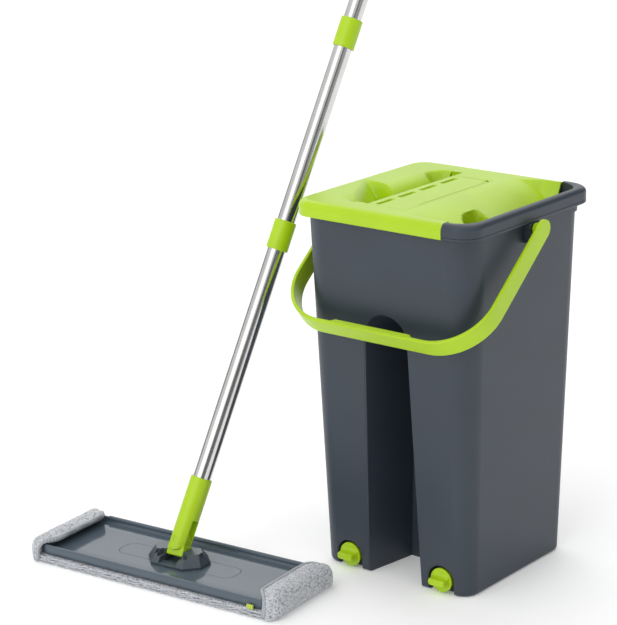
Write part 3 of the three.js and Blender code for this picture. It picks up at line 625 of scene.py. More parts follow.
def rim_profile(tub):
    """Fat rolled rim with a fine parting line low on its outside."""
    outer, under, top = tub.rim_overhang, tub.rim_underside, tub.rim_top
    profile = [(-0.5, under), (outer - 0.8, under), (outer, under + 0.8), (outer, under + 3)]
    profile += [(outer - 0.45, under + 3.3), (outer, under + 3.6)]
    profile += arc((outer - 5.4, top - 5.4), 5.4, 0, 90, 8)
    profile += arc((-0.9, top - 4.8), 4.8, 90, 180, 8)
    profile += [(-5.7, under - 2), (-tub.wall - 0.1, under - 8), (-0.5, under - 8)]
    return profile


class MOP_OT_tub(bpy.types.Operator):
    """Make the tub: tapered body, arched recesses, drain niches, rolled rim and pivot bosses"""

    bl_idname = "mop_bucket.tub"
    bl_label = "Tub"

    def execute(self, context):
        tub = sizes(context, "mop_tub")
        cover = sizes(context, "mop_cover")
        bail = sizes(context, "mop_bail")
        recess = (tub.recess_bottom, tub.recess_top, tub.recess_spring, tub.recess_rise)
        lean = (tub.recess_lip, tub.recess_taper)
        niche = (tub.niche, tub.niche, tub.drain_z, tub.niche)
        niche_wall = tub.base_depth / 2 - tub.niche_depth
        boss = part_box("bail_pin_right")[0].x / MM
        body = tub_body(tub, "tub", 0, 0, tub.lip_top)
        section = [(-0.5, 396), (2.4, 396), (2.4, tub.lip_top - 0.6)]
        section += [(1.8, tub.lip_top), (-0.5, tub.lip_top)]
        lip = rim_loop(tub, "lip", section, lambda o: tub.corner + o)
        rim = rim_loop(tub, "rim", rim_profile(tub), lambda o: tub.rim_corner + min(o, 0) * 0.1)
        cut(rim, block("keep", -150, cover.right_end + 1, -150, 150, 370, 420))
        bosses = []
        for sign in (-1, 1):
            near, far = sorted((sign * (boss - 4), sign * 114))
            top = tub.rim_underside - 0.3
            bosses.append(soften(block("boss", near, far, -9, 9, top - 21, top), 1.4))
        join(body, lip, rim, *bosses)
        cavity = tub_body(tub, "cavity", -tub.wall, tub.wall, tub.rim_top + 5)
        partition = block("partition", -1.5, 1.5, -120, 120, 0, tub.rim_underside - 30)
        solids = [partition]
        cuts = [cavity]
        for side in (-1, 1):
            cuts.append(arch_tool(tub, "recess", 0, side, recess, *lean, tub.web))
            behind = (tub.web - tub.wall, tub.wall)
            solids.append(arch_tool(tub, "recess wall", 0, side, recess, *lean, *behind))
        for sign in (-1, 1):
            x = sign * tub.drain_x
            cuts.append(arch_tool(tub, "niche", x, -1, niche, 1.2, 1.2, niche_wall))
            behind = (niche_wall - tub.wall, tub.wall)
            solids.append(arch_tool(tub, "niche wall", x, -1, niche, 1.2, 1.2, *behind))
            neck = [(8.95, -niche_wall - 1), (8.95, -niche_wall + 6)]
            cuts.append(turned("neck hole", neck, 40, "y", (x, 0, tub.drain_z)))
            near, far = sorted((sign * (boss - 0.5), sign * 116))
            hole = [(4.85, near), (4.85, far)]
            cuts.append(turned("pin hole", hole, 32, "x", (0, 0, bail.pivot_z)))
        cut(cavity, *solids)
        cut(body, *cuts)
        body.name = "tub_shell"
        shade(body, 28)
        finish_piece(body, "bucket", "slate_plastic", finish_for(context, SLATE), "bucket_tub")
        return {"FINISHED"}


# ------------------------------------------------------------------ cover
def cover_drop(cover, x, y):
    """How far the cover's top lies below its plateau at a point."""
    drop = 0.0
    if x < cover.slot_left + 0.01:
        u = min(max((x - cover.roll_start) / (cover.slot_left - cover.roll_start), 0), 1)
        ends = blend_step((cover.slot_half + 2 - abs(y)) / 14)
        drop = cover.roll_drop * (1 - math.sqrt(1 - 0.985 * u * u)) * ends
        lip = (x + 60) * 0.885 + (y + 85) * 0.465
        far_wall = 3 - 12 * (x + 98) / 45 - y
        front = blend_step((y + 90) / 12)
        bowl = cover.bowl_depth * blend_step(lip / 27) * blend_step(far_wall / 8) * front
        reach = math.hypot((x + 47) / 24, (y - 68) / 19)
        back_bowl = 19 * blend_step(1.6 * (1 - reach))
        drop = max(drop, bowl, back_bowl)
    if x > cover.ramp_start:
        t = (x - cover.ramp_start) / (cover.right_end + 2 - cover.ramp_start)
        deep = min(max((y + 27) / 90, 0), 1)
        slope = (14 + (cover.ramp_drop - 14) * deep) * t**1.9
        lip = (x - 58) * 0.806 + (y + 51) * 0.592
        scoop = 40 * blend_step(lip / 9) * blend_step((-24 - y) / 8) * blend_step((x - 57) / 7)
        top_edge = min(88 + 0.47 * (x - 24), 103.5)
        back_wall = (0.8 + 1.6 * t * t) * max(top_edge - y, 0)
        front_wall = 3.0 * max(y + 100, 0)
        drop = max(min(max(slope, scoop), back_wall, front_wall), 0)
    return drop


def cover_lines(inset_half, corner_half, extra, step):
    """Sorted grid positions that hit the corner arcs and the places where the cover is cut."""
    straight = inset_half - corner_half
    count = round(2 * straight / step)
    lines = [-straight + 2 * straight * i / count for i in range(count + 1)]
    for i in range(1, 13):
        offset = corner_half * math.sin(math.radians(7.5 * i))
        lines += [straight + offset, -straight - offset]
    lines = [v for v in lines if all(abs(v - e) > step * 0.3 for e in extra)]
    return sorted(lines + list(extra))


def left_edge(y, half_x, half_y, radius):
    """x of the cover's left inner outline at y, and the outward direction there."""
    past = abs(y) - (half_y - radius)
    if past <= 0:
        return -half_x, (-1.0, 0.0)
    across = math.sqrt(max(radius * radius - past * past, 0))
    direction = (-across / radius, math.copysign(past / radius, y))
    return -half_x + radius - across, direction


def cover_surface(tub, cover):
    """The cover's skin: a grid that follows cover_drop, with its edge rolled over the tub's lip."""
    inset = -tub.rim_overhang + cover.edge_round + 0.6
    half_x = tub.top_width / 2 - inset
    half_y = tub.top_depth / 2 - inset
    radius = tub.rim_corner - tub.rim_overhang - inset
    gap = CLEARANCE
    slot = cover.slot_half
    y_cuts = [-slot, slot, cover.insert_front - gap, cover.insert_back + gap]
    rows = cover_lines(half_y, radius, y_cuts, cover.grid)
    arc_end = -half_x + radius
    x_cuts = [cover.slot_left, cover.slot_right, cover.insert_right + gap]
    columns = round((cover.right_end - arc_end) / cover.grid)
    xs = [arc_end + (cover.right_end - arc_end) * i / columns for i in range(columns + 1)]
    xs = sorted([v for v in xs if all(abs(v - e) > cover.grid * 0.3 for e in x_cuts)] + x_cuts)
    points, faces = [], []
    across = 12
    width = across + len(xs)
    for y in rows:
        start, _ = left_edge(y, half_x, half_y, radius)
        line = [start + (arc_end - start) * i / across for i in range(across)] + xs
        points += [(x, y, cover.plateau - cover_drop(cover, x, y)) for x in line]
    for j in range(len(rows) - 1):
        for i in range(width - 1):
            a = j * width + i
            quad = (a, a + 1, a + 1 + width, a + width)
            middle = [sum(points[k][axis] for k in quad) / 4 for axis in (0, 1)]
            in_slot = cover.slot_left < middle[0] < cover.slot_right and abs(middle[1]) < slot
            in_insert = (
                cover.slot_right < middle[0] < cover.insert_right + gap
                and cover.insert_front - gap < middle[1] < cover.insert_back + gap
            )
            if not (in_slot or in_insert):
                faces.append(quad)
    faces += roll_edge(tub, cover, points, rows, width, half_x, half_y, radius)
    bottom = cover.plateau - cover.slot_depth
    left, right = cover.slot_left, cover.slot_right
    back = cover.insert_back + gap
    faces += drop_wall(points, (left, left), (-slot, slot), bottom)
    faces += drop_wall(points, (left, right), (slot, slot), bottom)
    faces += drop_wall(points, (left, right), (-slot, -slot), bottom)
    faces += drop_wall(points, (right, right), (back, slot), bottom)
    faces += drop_wall(points, (cover.right_end, cover.right_end), (-84, 84), cover.plateau - 86)
    return points, faces


def roll_edge(tub, cover, points, rows, width, half_x, half_y, radius):
    """Adds the rounded outer edge and skirt round the front, left and back; returns its faces."""
    path = []
    for k in range(width - 1, 11, -1):
        path.append((k, (0.0, -1.0)))
    for j, y in enumerate(rows):
        _, direction = left_edge(y, half_x, half_y, radius)
        path.append((j * width, direction))
    for k in range(12, width):
        path.append(((len(rows) - 1) * width + k, (0.0, 1.0)))
    reach = cover.edge_round
    profile = [(0.6, 0.0)]
    profile += [(0.6 + u, v - reach) for u, v in arc((0, 0), reach, 90, 0, 8)[1:]]
    profile.append((0.6 + reach, -(cover.plateau - tub.rim_underside) + 0.7))
    profile.append((0.6 + reach - 0.7, -(cover.plateau - tub.rim_underside)))
    faces = []
    previous = [k for k, _ in path]
    for outward, fall in profile:
        ring = []
        for k, (dx, dy) in path:
            x, y, z = points[k]
            ring.append(len(points))
            points.append((x + dx * outward, y + dy * outward, z + fall))
        for i in range(len(path) - 1):
            faces.append((previous[i], previous[i + 1], ring[i + 1], ring[i]))
        previous = ring
    return faces


def drop_wall(points, across, along, bottom):
    """Adds an upright wall below the skin's points in a line; returns its faces."""

    def in_line(point):
        limits = zip(point, (across, along))
        return point[2] > 340 and all(lo - 1e-6 <= v <= hi + 1e-6 for v, (lo, hi) in limits)

    top = [i for i, point in enumerate(points) if in_line(point)]
    top.sort(key=lambda i: (points[i][0], points[i][1]))
    faces = []
    previous = top
    for level in (1.0, 3.0, 8.0, None):
        ring = []
        for k in top:
            x, y, z = points[k]
            ring.append(len(points))
            points.append((x, y, bottom if level is None else z - level))
        for i in range(len(top) - 1):
            faces.append((previous[i], previous[i + 1], ring[i + 1], ring[i]))
        previous = ring
    return faces


class MOP_OT_cover(bpy.types.Operator):
    """Make the wringer cover with its bowls, ramp, rolled edge and slot walls"""

    bl_idname = "mop_bucket.cover"
    bl_label = "Wringer cover"

    def execute(self, context):
        tub = sizes(context, "mop_tub")
        cover = sizes(context, "mop_cover")
        points, faces = cover_surface(tub, cover)
        made = make_object("cover_shell", points, faces)
        if sum(p.normal.z * p.area for p in made.data.polygons) < 0:
            made.data.flip_normals()
        thick = made.modifiers.new("shell", "SOLIDIFY")
        thick.thickness = cover.shell * MM
        thick.offset = -1
        apply_modifiers(made)
        shade(made, 48)
        finish_piece(made, "cover", "lime_plastic", finish_for(context, LIME), "wringer_cover")
        return {"FINISHED"}


class MOP_OT_insert(bpy.types.Operator):
    """Make the clip-in wringer insert: slotted plate with a squeezing wall"""

    bl_idname = "mop_bucket.insert"
    bl_label = "Wringer insert"

    def execute(self, context):
        cover = sizes(context, "mop_cover")
        left, top = cover.slot_right, cover.plateau
        front, right = cover.insert_front, cover.insert_right
        plate = block("plate", left, right, front, cover.insert_back, top - 5, top)
        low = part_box("wringer_insert")[0].z / MM
        back = 66.6
        wall = block("wall", left, left + 2.6, -cover.slot_half + 0.4, back, low, top - 1)
        join(plate, wall)
        slots = []
        for i in range(4):
            y = -67.5 + 37.3 * i
            levels = []
            for grow, z in ((0, top - 2.6), (0.9, top - 0.6), (1.2, top + 2)):
                ring = rounded_ring(1.9 + grow, 13 + grow, 1.8, 0, 4)
                levels.append([(p[0] + left + 10, p[1] + y, z) for p in ring])
            slots.append(loft("slot", levels))
        seam = [(left + 1, 66), (left + 1, 66.8)]
        seam += arc((0, 54), 12.8, 90, 0, 10) + [(12.8, -60), (12, -60)] + arc((0, 54), 12, 0, 90, 10)
        slots.append(loft("seam", [[(x, y, z) for x, y in seam] for z in (top - 0.9, top + 2)]))
        latch = arc((2, 57), 13.6, 25, 62, 8) + arc((1.2, 56.2), 11.6, 62, 25, 8)
        slots.append(loft("latch", [[(x, y, z) for x, y in latch] for z in (top - 2.2, top + 2)]))
        cut(plate, *slots)
        soften(plate, 0.45, 50)
        plate.name = "insert_plate"
        shade(plate)
        finish_piece(plate, "insert", "lime_plastic", finish_for(context, LIME), "wringer_insert")
        lo, hi = (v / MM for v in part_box("scraper_strip"))
        outer = [(hi.x, hi.z), (hi.x, lo.z), (lo.x + 1.6, lo.z + 3)]
        outer += arc((lo.x + 0.9, lo.z + 5.5), 0.9, 250, 130, 5)
        outer += [(lo.x + 2.2, lo.z + 9)]
        strip = loft("scraper_lip", [[(x, y, z) for x, z in outer] for y in (lo.y, hi.y)])
        shade(strip)
        rubber = finish_for(context, RUBBER)
        finish_piece(strip, "insert", "black_rubber", rubber, "scraper_strip")
        return {"FINISHED"}


class MOP_OT_rack(bpy.types.Operator):
    """Make the ribbed wash rack under the ramp's end"""

    bl_idname = "mop_bucket.rack"
    bl_label = "Wash rack"

    def execute(self, context):
        lo, hi = (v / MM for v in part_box("wash_rack"))
        board = block("board", lo.x, lo.x + 2.6, lo.y, hi.y, lo.z, hi.z)
        soften(board, 0.6)
        ribs = []
        for i in range(7):
            z = hi.z - 12 - (hi.z - lo.z - 24) * i / 6
            profile = drum(3.4, lo.y + 4, hi.y - 4, 1.6)
            ribs.append(turned("rib", profile, 24, "y", (lo.x + 2.2, 0, z)))
        join(board, *ribs)
        board.name = "wash_rack_board"
        shade(board)
        finish_piece(board, "cover", "lime_plastic", finish_for(context, LIME), "wash_rack")
        return {"FINISHED"}


# ------------------------------------------------------------------ drains
class MOP_OT_drains(bpy.types.Operator):
    """Make both quarter-turn drain plugs and their seals"""

    bl_idname = "mop_bucket.drains"
    bl_label = "Drain plugs"

    def execute(self, context):
        tub = sizes(context, "mop_tub")
        for side, sign in (("left", -1), ("right", 1)):
            lo, hi = (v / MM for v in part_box(f"drain_plug_{side}"))
            seal_lo, seal_hi = (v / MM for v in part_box(f"drain_seal_{side}"))
            at = (sign * tub.drain_x, 0, tub.drain_z)
            disc_front = lo.y + 10
            disc = turned("disc", drum(13.2, disc_front, disc_front + 3.4, 0.9), 56, "y", at)
            shoulder = [(11.4, disc_front + 3), (11.4, seal_lo.y - CLEARANCE)]
            collar = turned("collar", shoulder, 48, "y", at)
            neck = turned("neck", drum(8.6, seal_lo.y - 1, hi.y, 0.8), 40, "y", at)
            rings = []
            for t, half_x, half_z in (
                (-1.5, 11.4, 8.6),
                (0, 11.0, 7.6),
                (1.5, 10.5, 5.9),
                (3.5, 10.1, 4.6),
                (6.5, 10.0, 4.0),
                (8.6, 9.8, 3.8),
                (9.6, 9.3, 3.2),
                (10, 8.2, 2.2),
            ):
                ring = rounded_ring(half_x, half_z, min(half_z, 2.9) * 0.96, 0, 6)
                rings.append([(at[0] + x, disc_front - t, at[2] + z) for x, z, _ in ring])
            wing = loft("wing", rings)
            plug = join(disc, collar, neck, wing)
            plug.name = f"drain_knob_{side}"
            shade(plug, 40)
            lime = finish_for(context, LIME)
            finish_piece(plug, f"plug_{side}", "lime_plastic", lime, f"drain_plug_{side}")
            middle = (seal_lo.y + seal_hi.y) / 2
            profile = arc((10.25, middle), 1.02, 0, 360, 16)[:-1]
            rings = []
            for i in range(48):
                across, up = math.cos(math.tau * i / 48), math.sin(math.tau * i / 48)
                rings.append([(at[0] + r * across, y, at[2] + r * up) for r, y in profile])
            seal = loft(f"drain_ring_{side}", rings, wrap=True)
            shade(seal, 60)
            rubber = finish_for(context, RUBBER)
            finish_piece(seal, f"seal_{side}", "black_rubber", rubber, f"drain_seal_{side}")
        return {"FINISHED"}


# ------------------------------------------------------------------ bail
def bail_path(bail):
    """Points (across, along) of the bail's outer face with their outward directions."""
    straight = bail.reach - bail.bend
    half = bail.half_width
    path = [((half, straight * i / 6), (1.0, 0.0)) for i in range(6)]
    for i in range(19):
        a = math.radians(5 * i)
        centre = (half - bail.bend, straight)
        point = (centre[0] + bail.bend * math.cos(a), centre[1] + bail.bend * math.sin(a))
        path.append((point, (math.cos(a), math.sin(a))))
    count = 8
    for i in range(1, count):
        path.append((((half - bail.bend) * (1 - i / count), bail.reach), (0.0, 1.0)))
    path.append(((0.0, bail.reach), (0.0, 1.0)))
    mirrored = [((-p[0], p[1]), (-n[0], n[1])) for p, n in reversed(path[:-1])]
    return path + mirrored


class MOP_OT_bail(bpy.types.Operator):
    """Make the carrying bail, its ribbed grip and its two pivot studs"""

    bl_idname = "mop_bucket.bail"
    bl_label = "Bail"

    def execute(self, context):
        bail = sizes(context, "mop_bail")
        section = []
        half = bail.strip / 2
        for u, w in rounded_section(bail.thickness / 2, half, 1.3):
            section.append((u - bail.thickness / 2, w))
        rings = []
        for side in (1, -1):
            ends = []
            for i in range(1, 13):
                a = math.radians(90 - 7.4 * i)
                narrow = [(u, w * math.cos(a)) for u, w in section]
                x, along = side * bail.half_width, -half * math.sin(a)
                ends.append([(x + side * u, along, w) for u, w in narrow])
            if side > 0:
                rings += ends
                for (x, along), (nx, ny) in bail_path(bail):
                    rings.append([(x + nx * u, along + ny * u, w) for u, w in section])
            else:
                rings += reversed(ends)
        strip = loft("strip", rings)
        inner = bail.reach - bail.thickness
        grip_rings = []
        for x, rise in self.grip_stations(bail):
            ring = rounded_section(rise / 2 + 0.6, half - 1.6, min(1.2, rise / 2 + 0.3))
            grip_rings.append([(x, inner - rise / 2 + 0.6 + u, w) for u, w in ring])
        parts = [loft("grip", grip_rings)]
        for i in range(bail.nubs):
            x = (i - (bail.nubs - 1) / 2) * bail.nub_pitch
            profile = drum(1.7, -half + 2.8, half - 2.8, 1.5)
            parts.append(turned("nub", profile, 14, "z", (x, inner - bail.grip_rise + 0.7, 0)))
        join(strip, *parts)
        turn = Matrix.Rotation(math.pi + bail.below_level, 4, "X")
        place(strip, Matrix.Translation((0, 0, bail.pivot_z)) @ turn)
        strip.name = "carrying_bail"
        shade(strip, 36)
        finish_piece(strip, "bail", "lime_plastic", finish_for(context, LIME), "bail_handle")
        for side, sign in (("left", -1), ("right", 1)):
            lo, hi = (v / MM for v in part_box(f"bail_pin_{side}"))
            pin_end, hub_end = (lo.x, hi.x) if sign > 0 else (-hi.x, -lo.x)
            profile = drum(4.5, pin_end, 114.6, 0.8)[:-3] + [(4.5, 114.35)]
            profile += arc((5.4, 115.1), 0.75, -90, 0, 3) + [(6.2, hub_end)]
            if sign < 0:
                profile = [(r, -x) for r, x in reversed(profile)]
            pin = turned(f"bail_stud_{side}", profile, 32, "x", (0, 0, bail.pivot_z))
            shade(pin)
            finish_piece(pin, "bail", "lime_plastic", finish_for(context, LIME), f"bail_pin_{side}")
        return {"FINISHED"}

    def grip_stations(self, bail):
        """Places along the grip with its rise: ramped ends and a level middle."""
        end, ramp_length = bail.grip_half, 9
        stations = [(-end + ramp_length * t / 4, bail.grip_rise * blend_step(t / 4)) for t in range(5)]
        return stations + [(-x, rise) for x, rise in reversed(stations)]


def rounded_section(half_u, half_w, radius):
    """Rounded rectangle as (u, w) pairs."""
    return [(x, y) for x, y, _ in rounded_ring(half_u, half_w, radius, 0, 4)]


# ------------------------------------------------------------------ mop head
def mop_matrix(head, height=0.0):
    """From the parked mop's own axes to the frame's."""
    at = Vector(JOINTS["mop_tilt"]["pos_m"]) / MM
    return Matrix.Translation((at.x, at.y, height)) @ Matrix.Rotation(head.yaw, 4, "Z")


def block_matrix(head, pole):
    """From the joint block's axes to the frame's."""
    height = JOINTS["mop_tilt"]["pos_m"][2] / MM
    return mop_matrix(head, height) @ Matrix.Rotation(-pole.tilt, 4, "X")


def pole_matrix(head, pole):
    """From the pole's axes, with z from the swing pin, to the frame's."""
    lift = Matrix.Translation((0, 0, pole.pin_offset))
    return block_matrix(head, pole) @ lift @ Matrix.Rotation(pole.swing, 4, "Y")


class MOP_OT_plate(bpy.types.Operator):
    """Make the mop plate with its tray, rolled rim and engraved outline"""

    bl_idname = "mop_bucket.plate"
    bl_label = "Mop plate"

    def execute(self, context):
        head = sizes(context, "mop_head")
        half_x, half_y = head.plate_length / 2, head.plate_width / 2
        low, top = head.plate_bottom, head.plate_top
        profile = [(3.5, low), (1.2, low + 0.6), (0.3, low + 2), (0, low + 4), (0, top - 3.2)]
        crest = head.rim / 2
        profile += [(crest - crest * u, top - 2.8 + 2.8 * v) for u, v in arc((0, 0), 1, 8, 90, 7)]
        profile += [(crest + crest * u, top - 2.8 + 2.8 * v) for u, v in arc((0, 0), 1, 78, 0, 6)]
        wall = head.rim + 0.6
        profile += [(wall + 2.0 - u, head.tray + 2.2 - v) for u, v in arc((0, 0), 2.0, 0, 90, 5)]
        profile += [(wall + 16, head.tray)]
        rings = []
        for inset, z in profile:
            rings.append(rounded_ring(half_x - inset, half_y - inset, max(12 - inset * 0.55, 5), z, 8))
        plate = loft("plate", rings)
        line = self.groove(head)
        cut(plate, line)
        rear = self.rear_roll(head, half_x, half_y)
        join(plate, rear)
        place(plate, mop_matrix(head))
        plate.name = "mop_plate_shell"
        shade(plate, 34)
        finish = finish_for(context, "ABS_semi_gloss_grey")
        finish_piece(plate, "mop_head", "grey_plastic", finish, "mop_plate")
        return {"FINISHED"}

    def groove(self, head):
        """Shallow V cut that draws a rounded outline round the bracket."""
        profile = [(0.7, 0.4), (0.0, -0.45), (-0.7, 0.4)]
        rings = [rounded_ring(76 + o, 15 + o, 11 + o, head.tray + z, 8) for o, z in profile]
        return loft("groove", rings, wrap=True)

    def rear_roll(self, head, half_x, half_y):
        """Rolled bar along the plate's rear edge."""
        radius = 2.7
        centre = (half_y - radius - 0.2, head.plate_top - radius + 1.3)
        rings = []
        reach = half_x - 14
        for x, r in ((-reach, 0.4), (-reach + 3, radius), (reach - 3, radius), (reach, 0.4)):
            rings.append([(x, y, z) for y, z in arc(centre, r, 0, 360, 20)[:-1]])
        return loft("roll", rings)


class MOP_OT_bracket(bpy.types.Operator):
    """Make the joint bracket, its four screws and the tilt pin"""

    bl_idname = "mop_bucket.bracket"
    bl_label = "Joint bracket"

    def execute(self, context):
        head = sizes(context, "mop_head")
        base, top = head.tray + CLEARANCE, 28.0
        half_x, half_y, chamfer, lean = 35.0, 23.0, 14.0, 6.5

        def octagon(hx, hy, c, z):
            corners = [(hx, -hy + c), (hx, hy - c), (hx - c, hy), (-hx + c, hy)]
            return [(x, y, z) for x, y in corners + [(-x, -y) for x, y in corners]]

        body = loft(
            "bracket",
            [
                octagon(half_x, half_y, chamfer, base),
                octagon(half_x, half_y, chamfer, base + 2.2),
                octagon(half_x - lean, half_y - lean * 1.3, chamfer - lean / 2, top),
            ],
        )
        screws = [(sx * (half_x - 17), sy * (half_y - 9)) for sx in (-1, 1) for sy in (-1, 1)]
        screws.sort(key=lambda p: (p[1], p[0]))
        tools = [
            block("slot", -11.5, 11.5, -30, 30, base + 2.6, 40),
            block("window", -11.5, 11.5, -13.2, 13.2, 0, 40),
            turned("pin hole", [(2.25, -45), (2.25, 45)], 24, "x", (0, 0, 25)),
        ]
        for sign in (-1, 1):
            near, far = sorted((sign * 8.2, sign * 40))
            tools.append(block("relief", -16, 16, near, far, 22, 40))
        for x, y in screws:
            tools.append(turned("well", [(2.95, base + 2.6), (2.95, 40)], 24, "z", (x, y, 0)))
        cut(body, *tools)
        soften(body, 0.8, 25)
        place(body, mop_matrix(head))
        body.name = "joint_bracket_body"
        shade(body, 40)
        finish = finish_for(context, DARK)
        finish_piece(body, "mop_head", "dark_plastic", finish, "joint_bracket")
        zinc = finish_for(context, ZINC)
        for i, (x, y) in enumerate(screws):
            seat = base + 2.6 + CLEARANCE
            profile = [(1.15, seat - 2.4), (1.15, seat), (2.6, seat), (2.6, seat + 0.8)]
            profile += [(2.2, seat + 1.3), (1.2, seat + 1.6)]
            screw = turned("screw", profile, 24, "z", (x, y, 0))
            cross = [
                block("cross", x - 1.4, x + 1.4, y - 0.3, y + 0.3, seat + 0.7, seat + 3),
                block("cross", x - 0.3, x + 0.3, y - 1.4, y + 1.4, seat + 0.7, seat + 3),
            ]
            cut(screw, *cross)
            place(screw, mop_matrix(head))
            screw.name = f"pan_screw_{i + 1}"
            shade(screw)
            finish_piece(screw, "mop_head", "polished_steel", zinc, f"bracket_screw_{i + 1}")
        half = half_x - lean - 0.6
        pin = turned("tilt_pin_rod", drum(1.9, -half, half, 0.4), 28, "x", (0, 0, 25))
        place(pin, mop_matrix(head))
        shade(pin)
        finish_piece(pin, "mop_head", "polished_steel", zinc, "tilt_pin")
        return {"FINISHED"}


class MOP_OT_joint(bpy.types.Operator):
    """Make the cross block, the swing pin and the forked sleeve"""

    bl_idname = "mop_bucket.joint"
    bl_label = "Swivel joint"

    def execute(self, context):
        head = sizes(context, "mop_head")
        pole = sizes(context, "mop_pole")
        lime = finish_for(context, LIME)
        block_object = self.cross_block(pole)
        place(block_object, block_matrix(head, pole))
        finish_piece(shade(block_object, 38), "block", "lime_plastic", lime, "cross_block")
        reach = pole.sleeve - 2.6
        pin = turned("swing_pin_rod", drum(1.9, -reach, reach, 0.4), 28, "y", (0, 0, pole.pin_offset))
        place(pin, block_matrix(head, pole))
        zinc = finish_for(context, ZINC)
        finish_piece(shade(pin), "block", "polished_steel", zinc, "swing_pin")
        sleeve = self.sleeve(pole)
        place(sleeve, pole_matrix(head, pole))
        finish_piece(shade(sleeve, 38), "pole", "lime_plastic", lime, "fork_sleeve")
        return {"FINISHED"}

    def cross_block(self, pole):
        """Block on the tilt pin with a tongue that the fork straddles."""
        offset = pole.pin_offset
        lower = block("cross_block_body", -10.9, 10.9, -8.2, 8.2, -5.8, offset - 5)
        soften(lower, 1.8)
        cut(lower, turned("seat", [(11.5, -20), (11.5, 20)], 48, "y", (0, 0, offset)))
        tongue = turned("tongue", drum(9.5, -5.35, 5.35, 0.6), 48, "y", (0, 0, offset))
        web = block("web", -9.5, 9.5, -5.35, 5.35, -3.8, offset)
        join(lower, tongue, web)
        holes = [
            turned("hole", [(2.25, -30), (2.25, 30)], 24, "x"),
            turned("hole", [(2.25, -30), (2.25, 30)], 24, "y", (0, 0, offset)),
        ]
        return cut(lower, *holes)

    def sleeve(self, pole):
        """Barrel that grips the tube and forks over the block's tongue."""
        top = pole.sleeve_top - pole.pin_offset
        slot_top = pole.fork_top - pole.pin_offset
        radius = pole.sleeve
        profile = drum(radius, -radius, top, 1.0)
        barrel = turned("fork_sleeve_body", profile, 64)
        ends = turned("ends", [(11, -30), (11, 30)], 56, "y")
        join(ends, block("upper", -30, 30, -30, 30, 0, top + 10))
        combine(barrel, "INTERSECT", ends)
        shoulder = []
        for sign in (-1, 1):
            near, far = sorted((sign * 11, sign * 20))
            shoulder.append(block("flat", near, far, -20, 20, -20, slot_top))
        gap = block("gap", -30, 30, -5.7, 5.7, -30, slot_top)
        soften(gap, 1.2)
        bore_start = 46 - pole.pin_offset
        bore = socket_tool("bore", pole, bore_start, top + 5, 64)
        dimple = turned("dimple", [(3.4, -radius - 1), (3.4, -radius + 0.9)], 28, "y")
        hole = turned("hole", [(2.25, 2.2 - radius), (2.25, radius - 2.2)], 28, "y")
        cut(barrel, *shoulder, gap, bore, dimple, hole)
        return soften(barrel, 0.5, 45)


# ------------------------------------------------------------------ pole
def collar_start(pole, i):
    """Lower end of a connector, from the swing pin."""
    return pole.first_collar + pole.collar_pitch * i - pole.collar_length / 2 - pole.pin_offset


def socket_tool(name, pole, start, end, sides):
    """Cutter for a hole that the tube slides into."""
    radius = pole.tube + CLEARANCE
    return turned(name, [(radius, start), (radius, end)], sides)


def pipe(name, outer, inner, start, end, sides=64):
    """Open tube with rounded mouths."""
    lip = (outer - inner) / 2 * 0.9
    profile = [(outer - lip, start), (outer, start + lip), (outer, end - lip), (outer - lip, end)]
    profile += [(inner + 0.02, end), (inner, end - lip), (inner, start + lip), (inner + 0.02, start)]
    rings = []
    for radius, height in profile:
        circle = [math.tau * i / sides for i in range(sides)]
        rings.append([(radius * math.cos(a), radius * math.sin(a), height) for a in circle])
    return loft(name, rings, wrap=True)


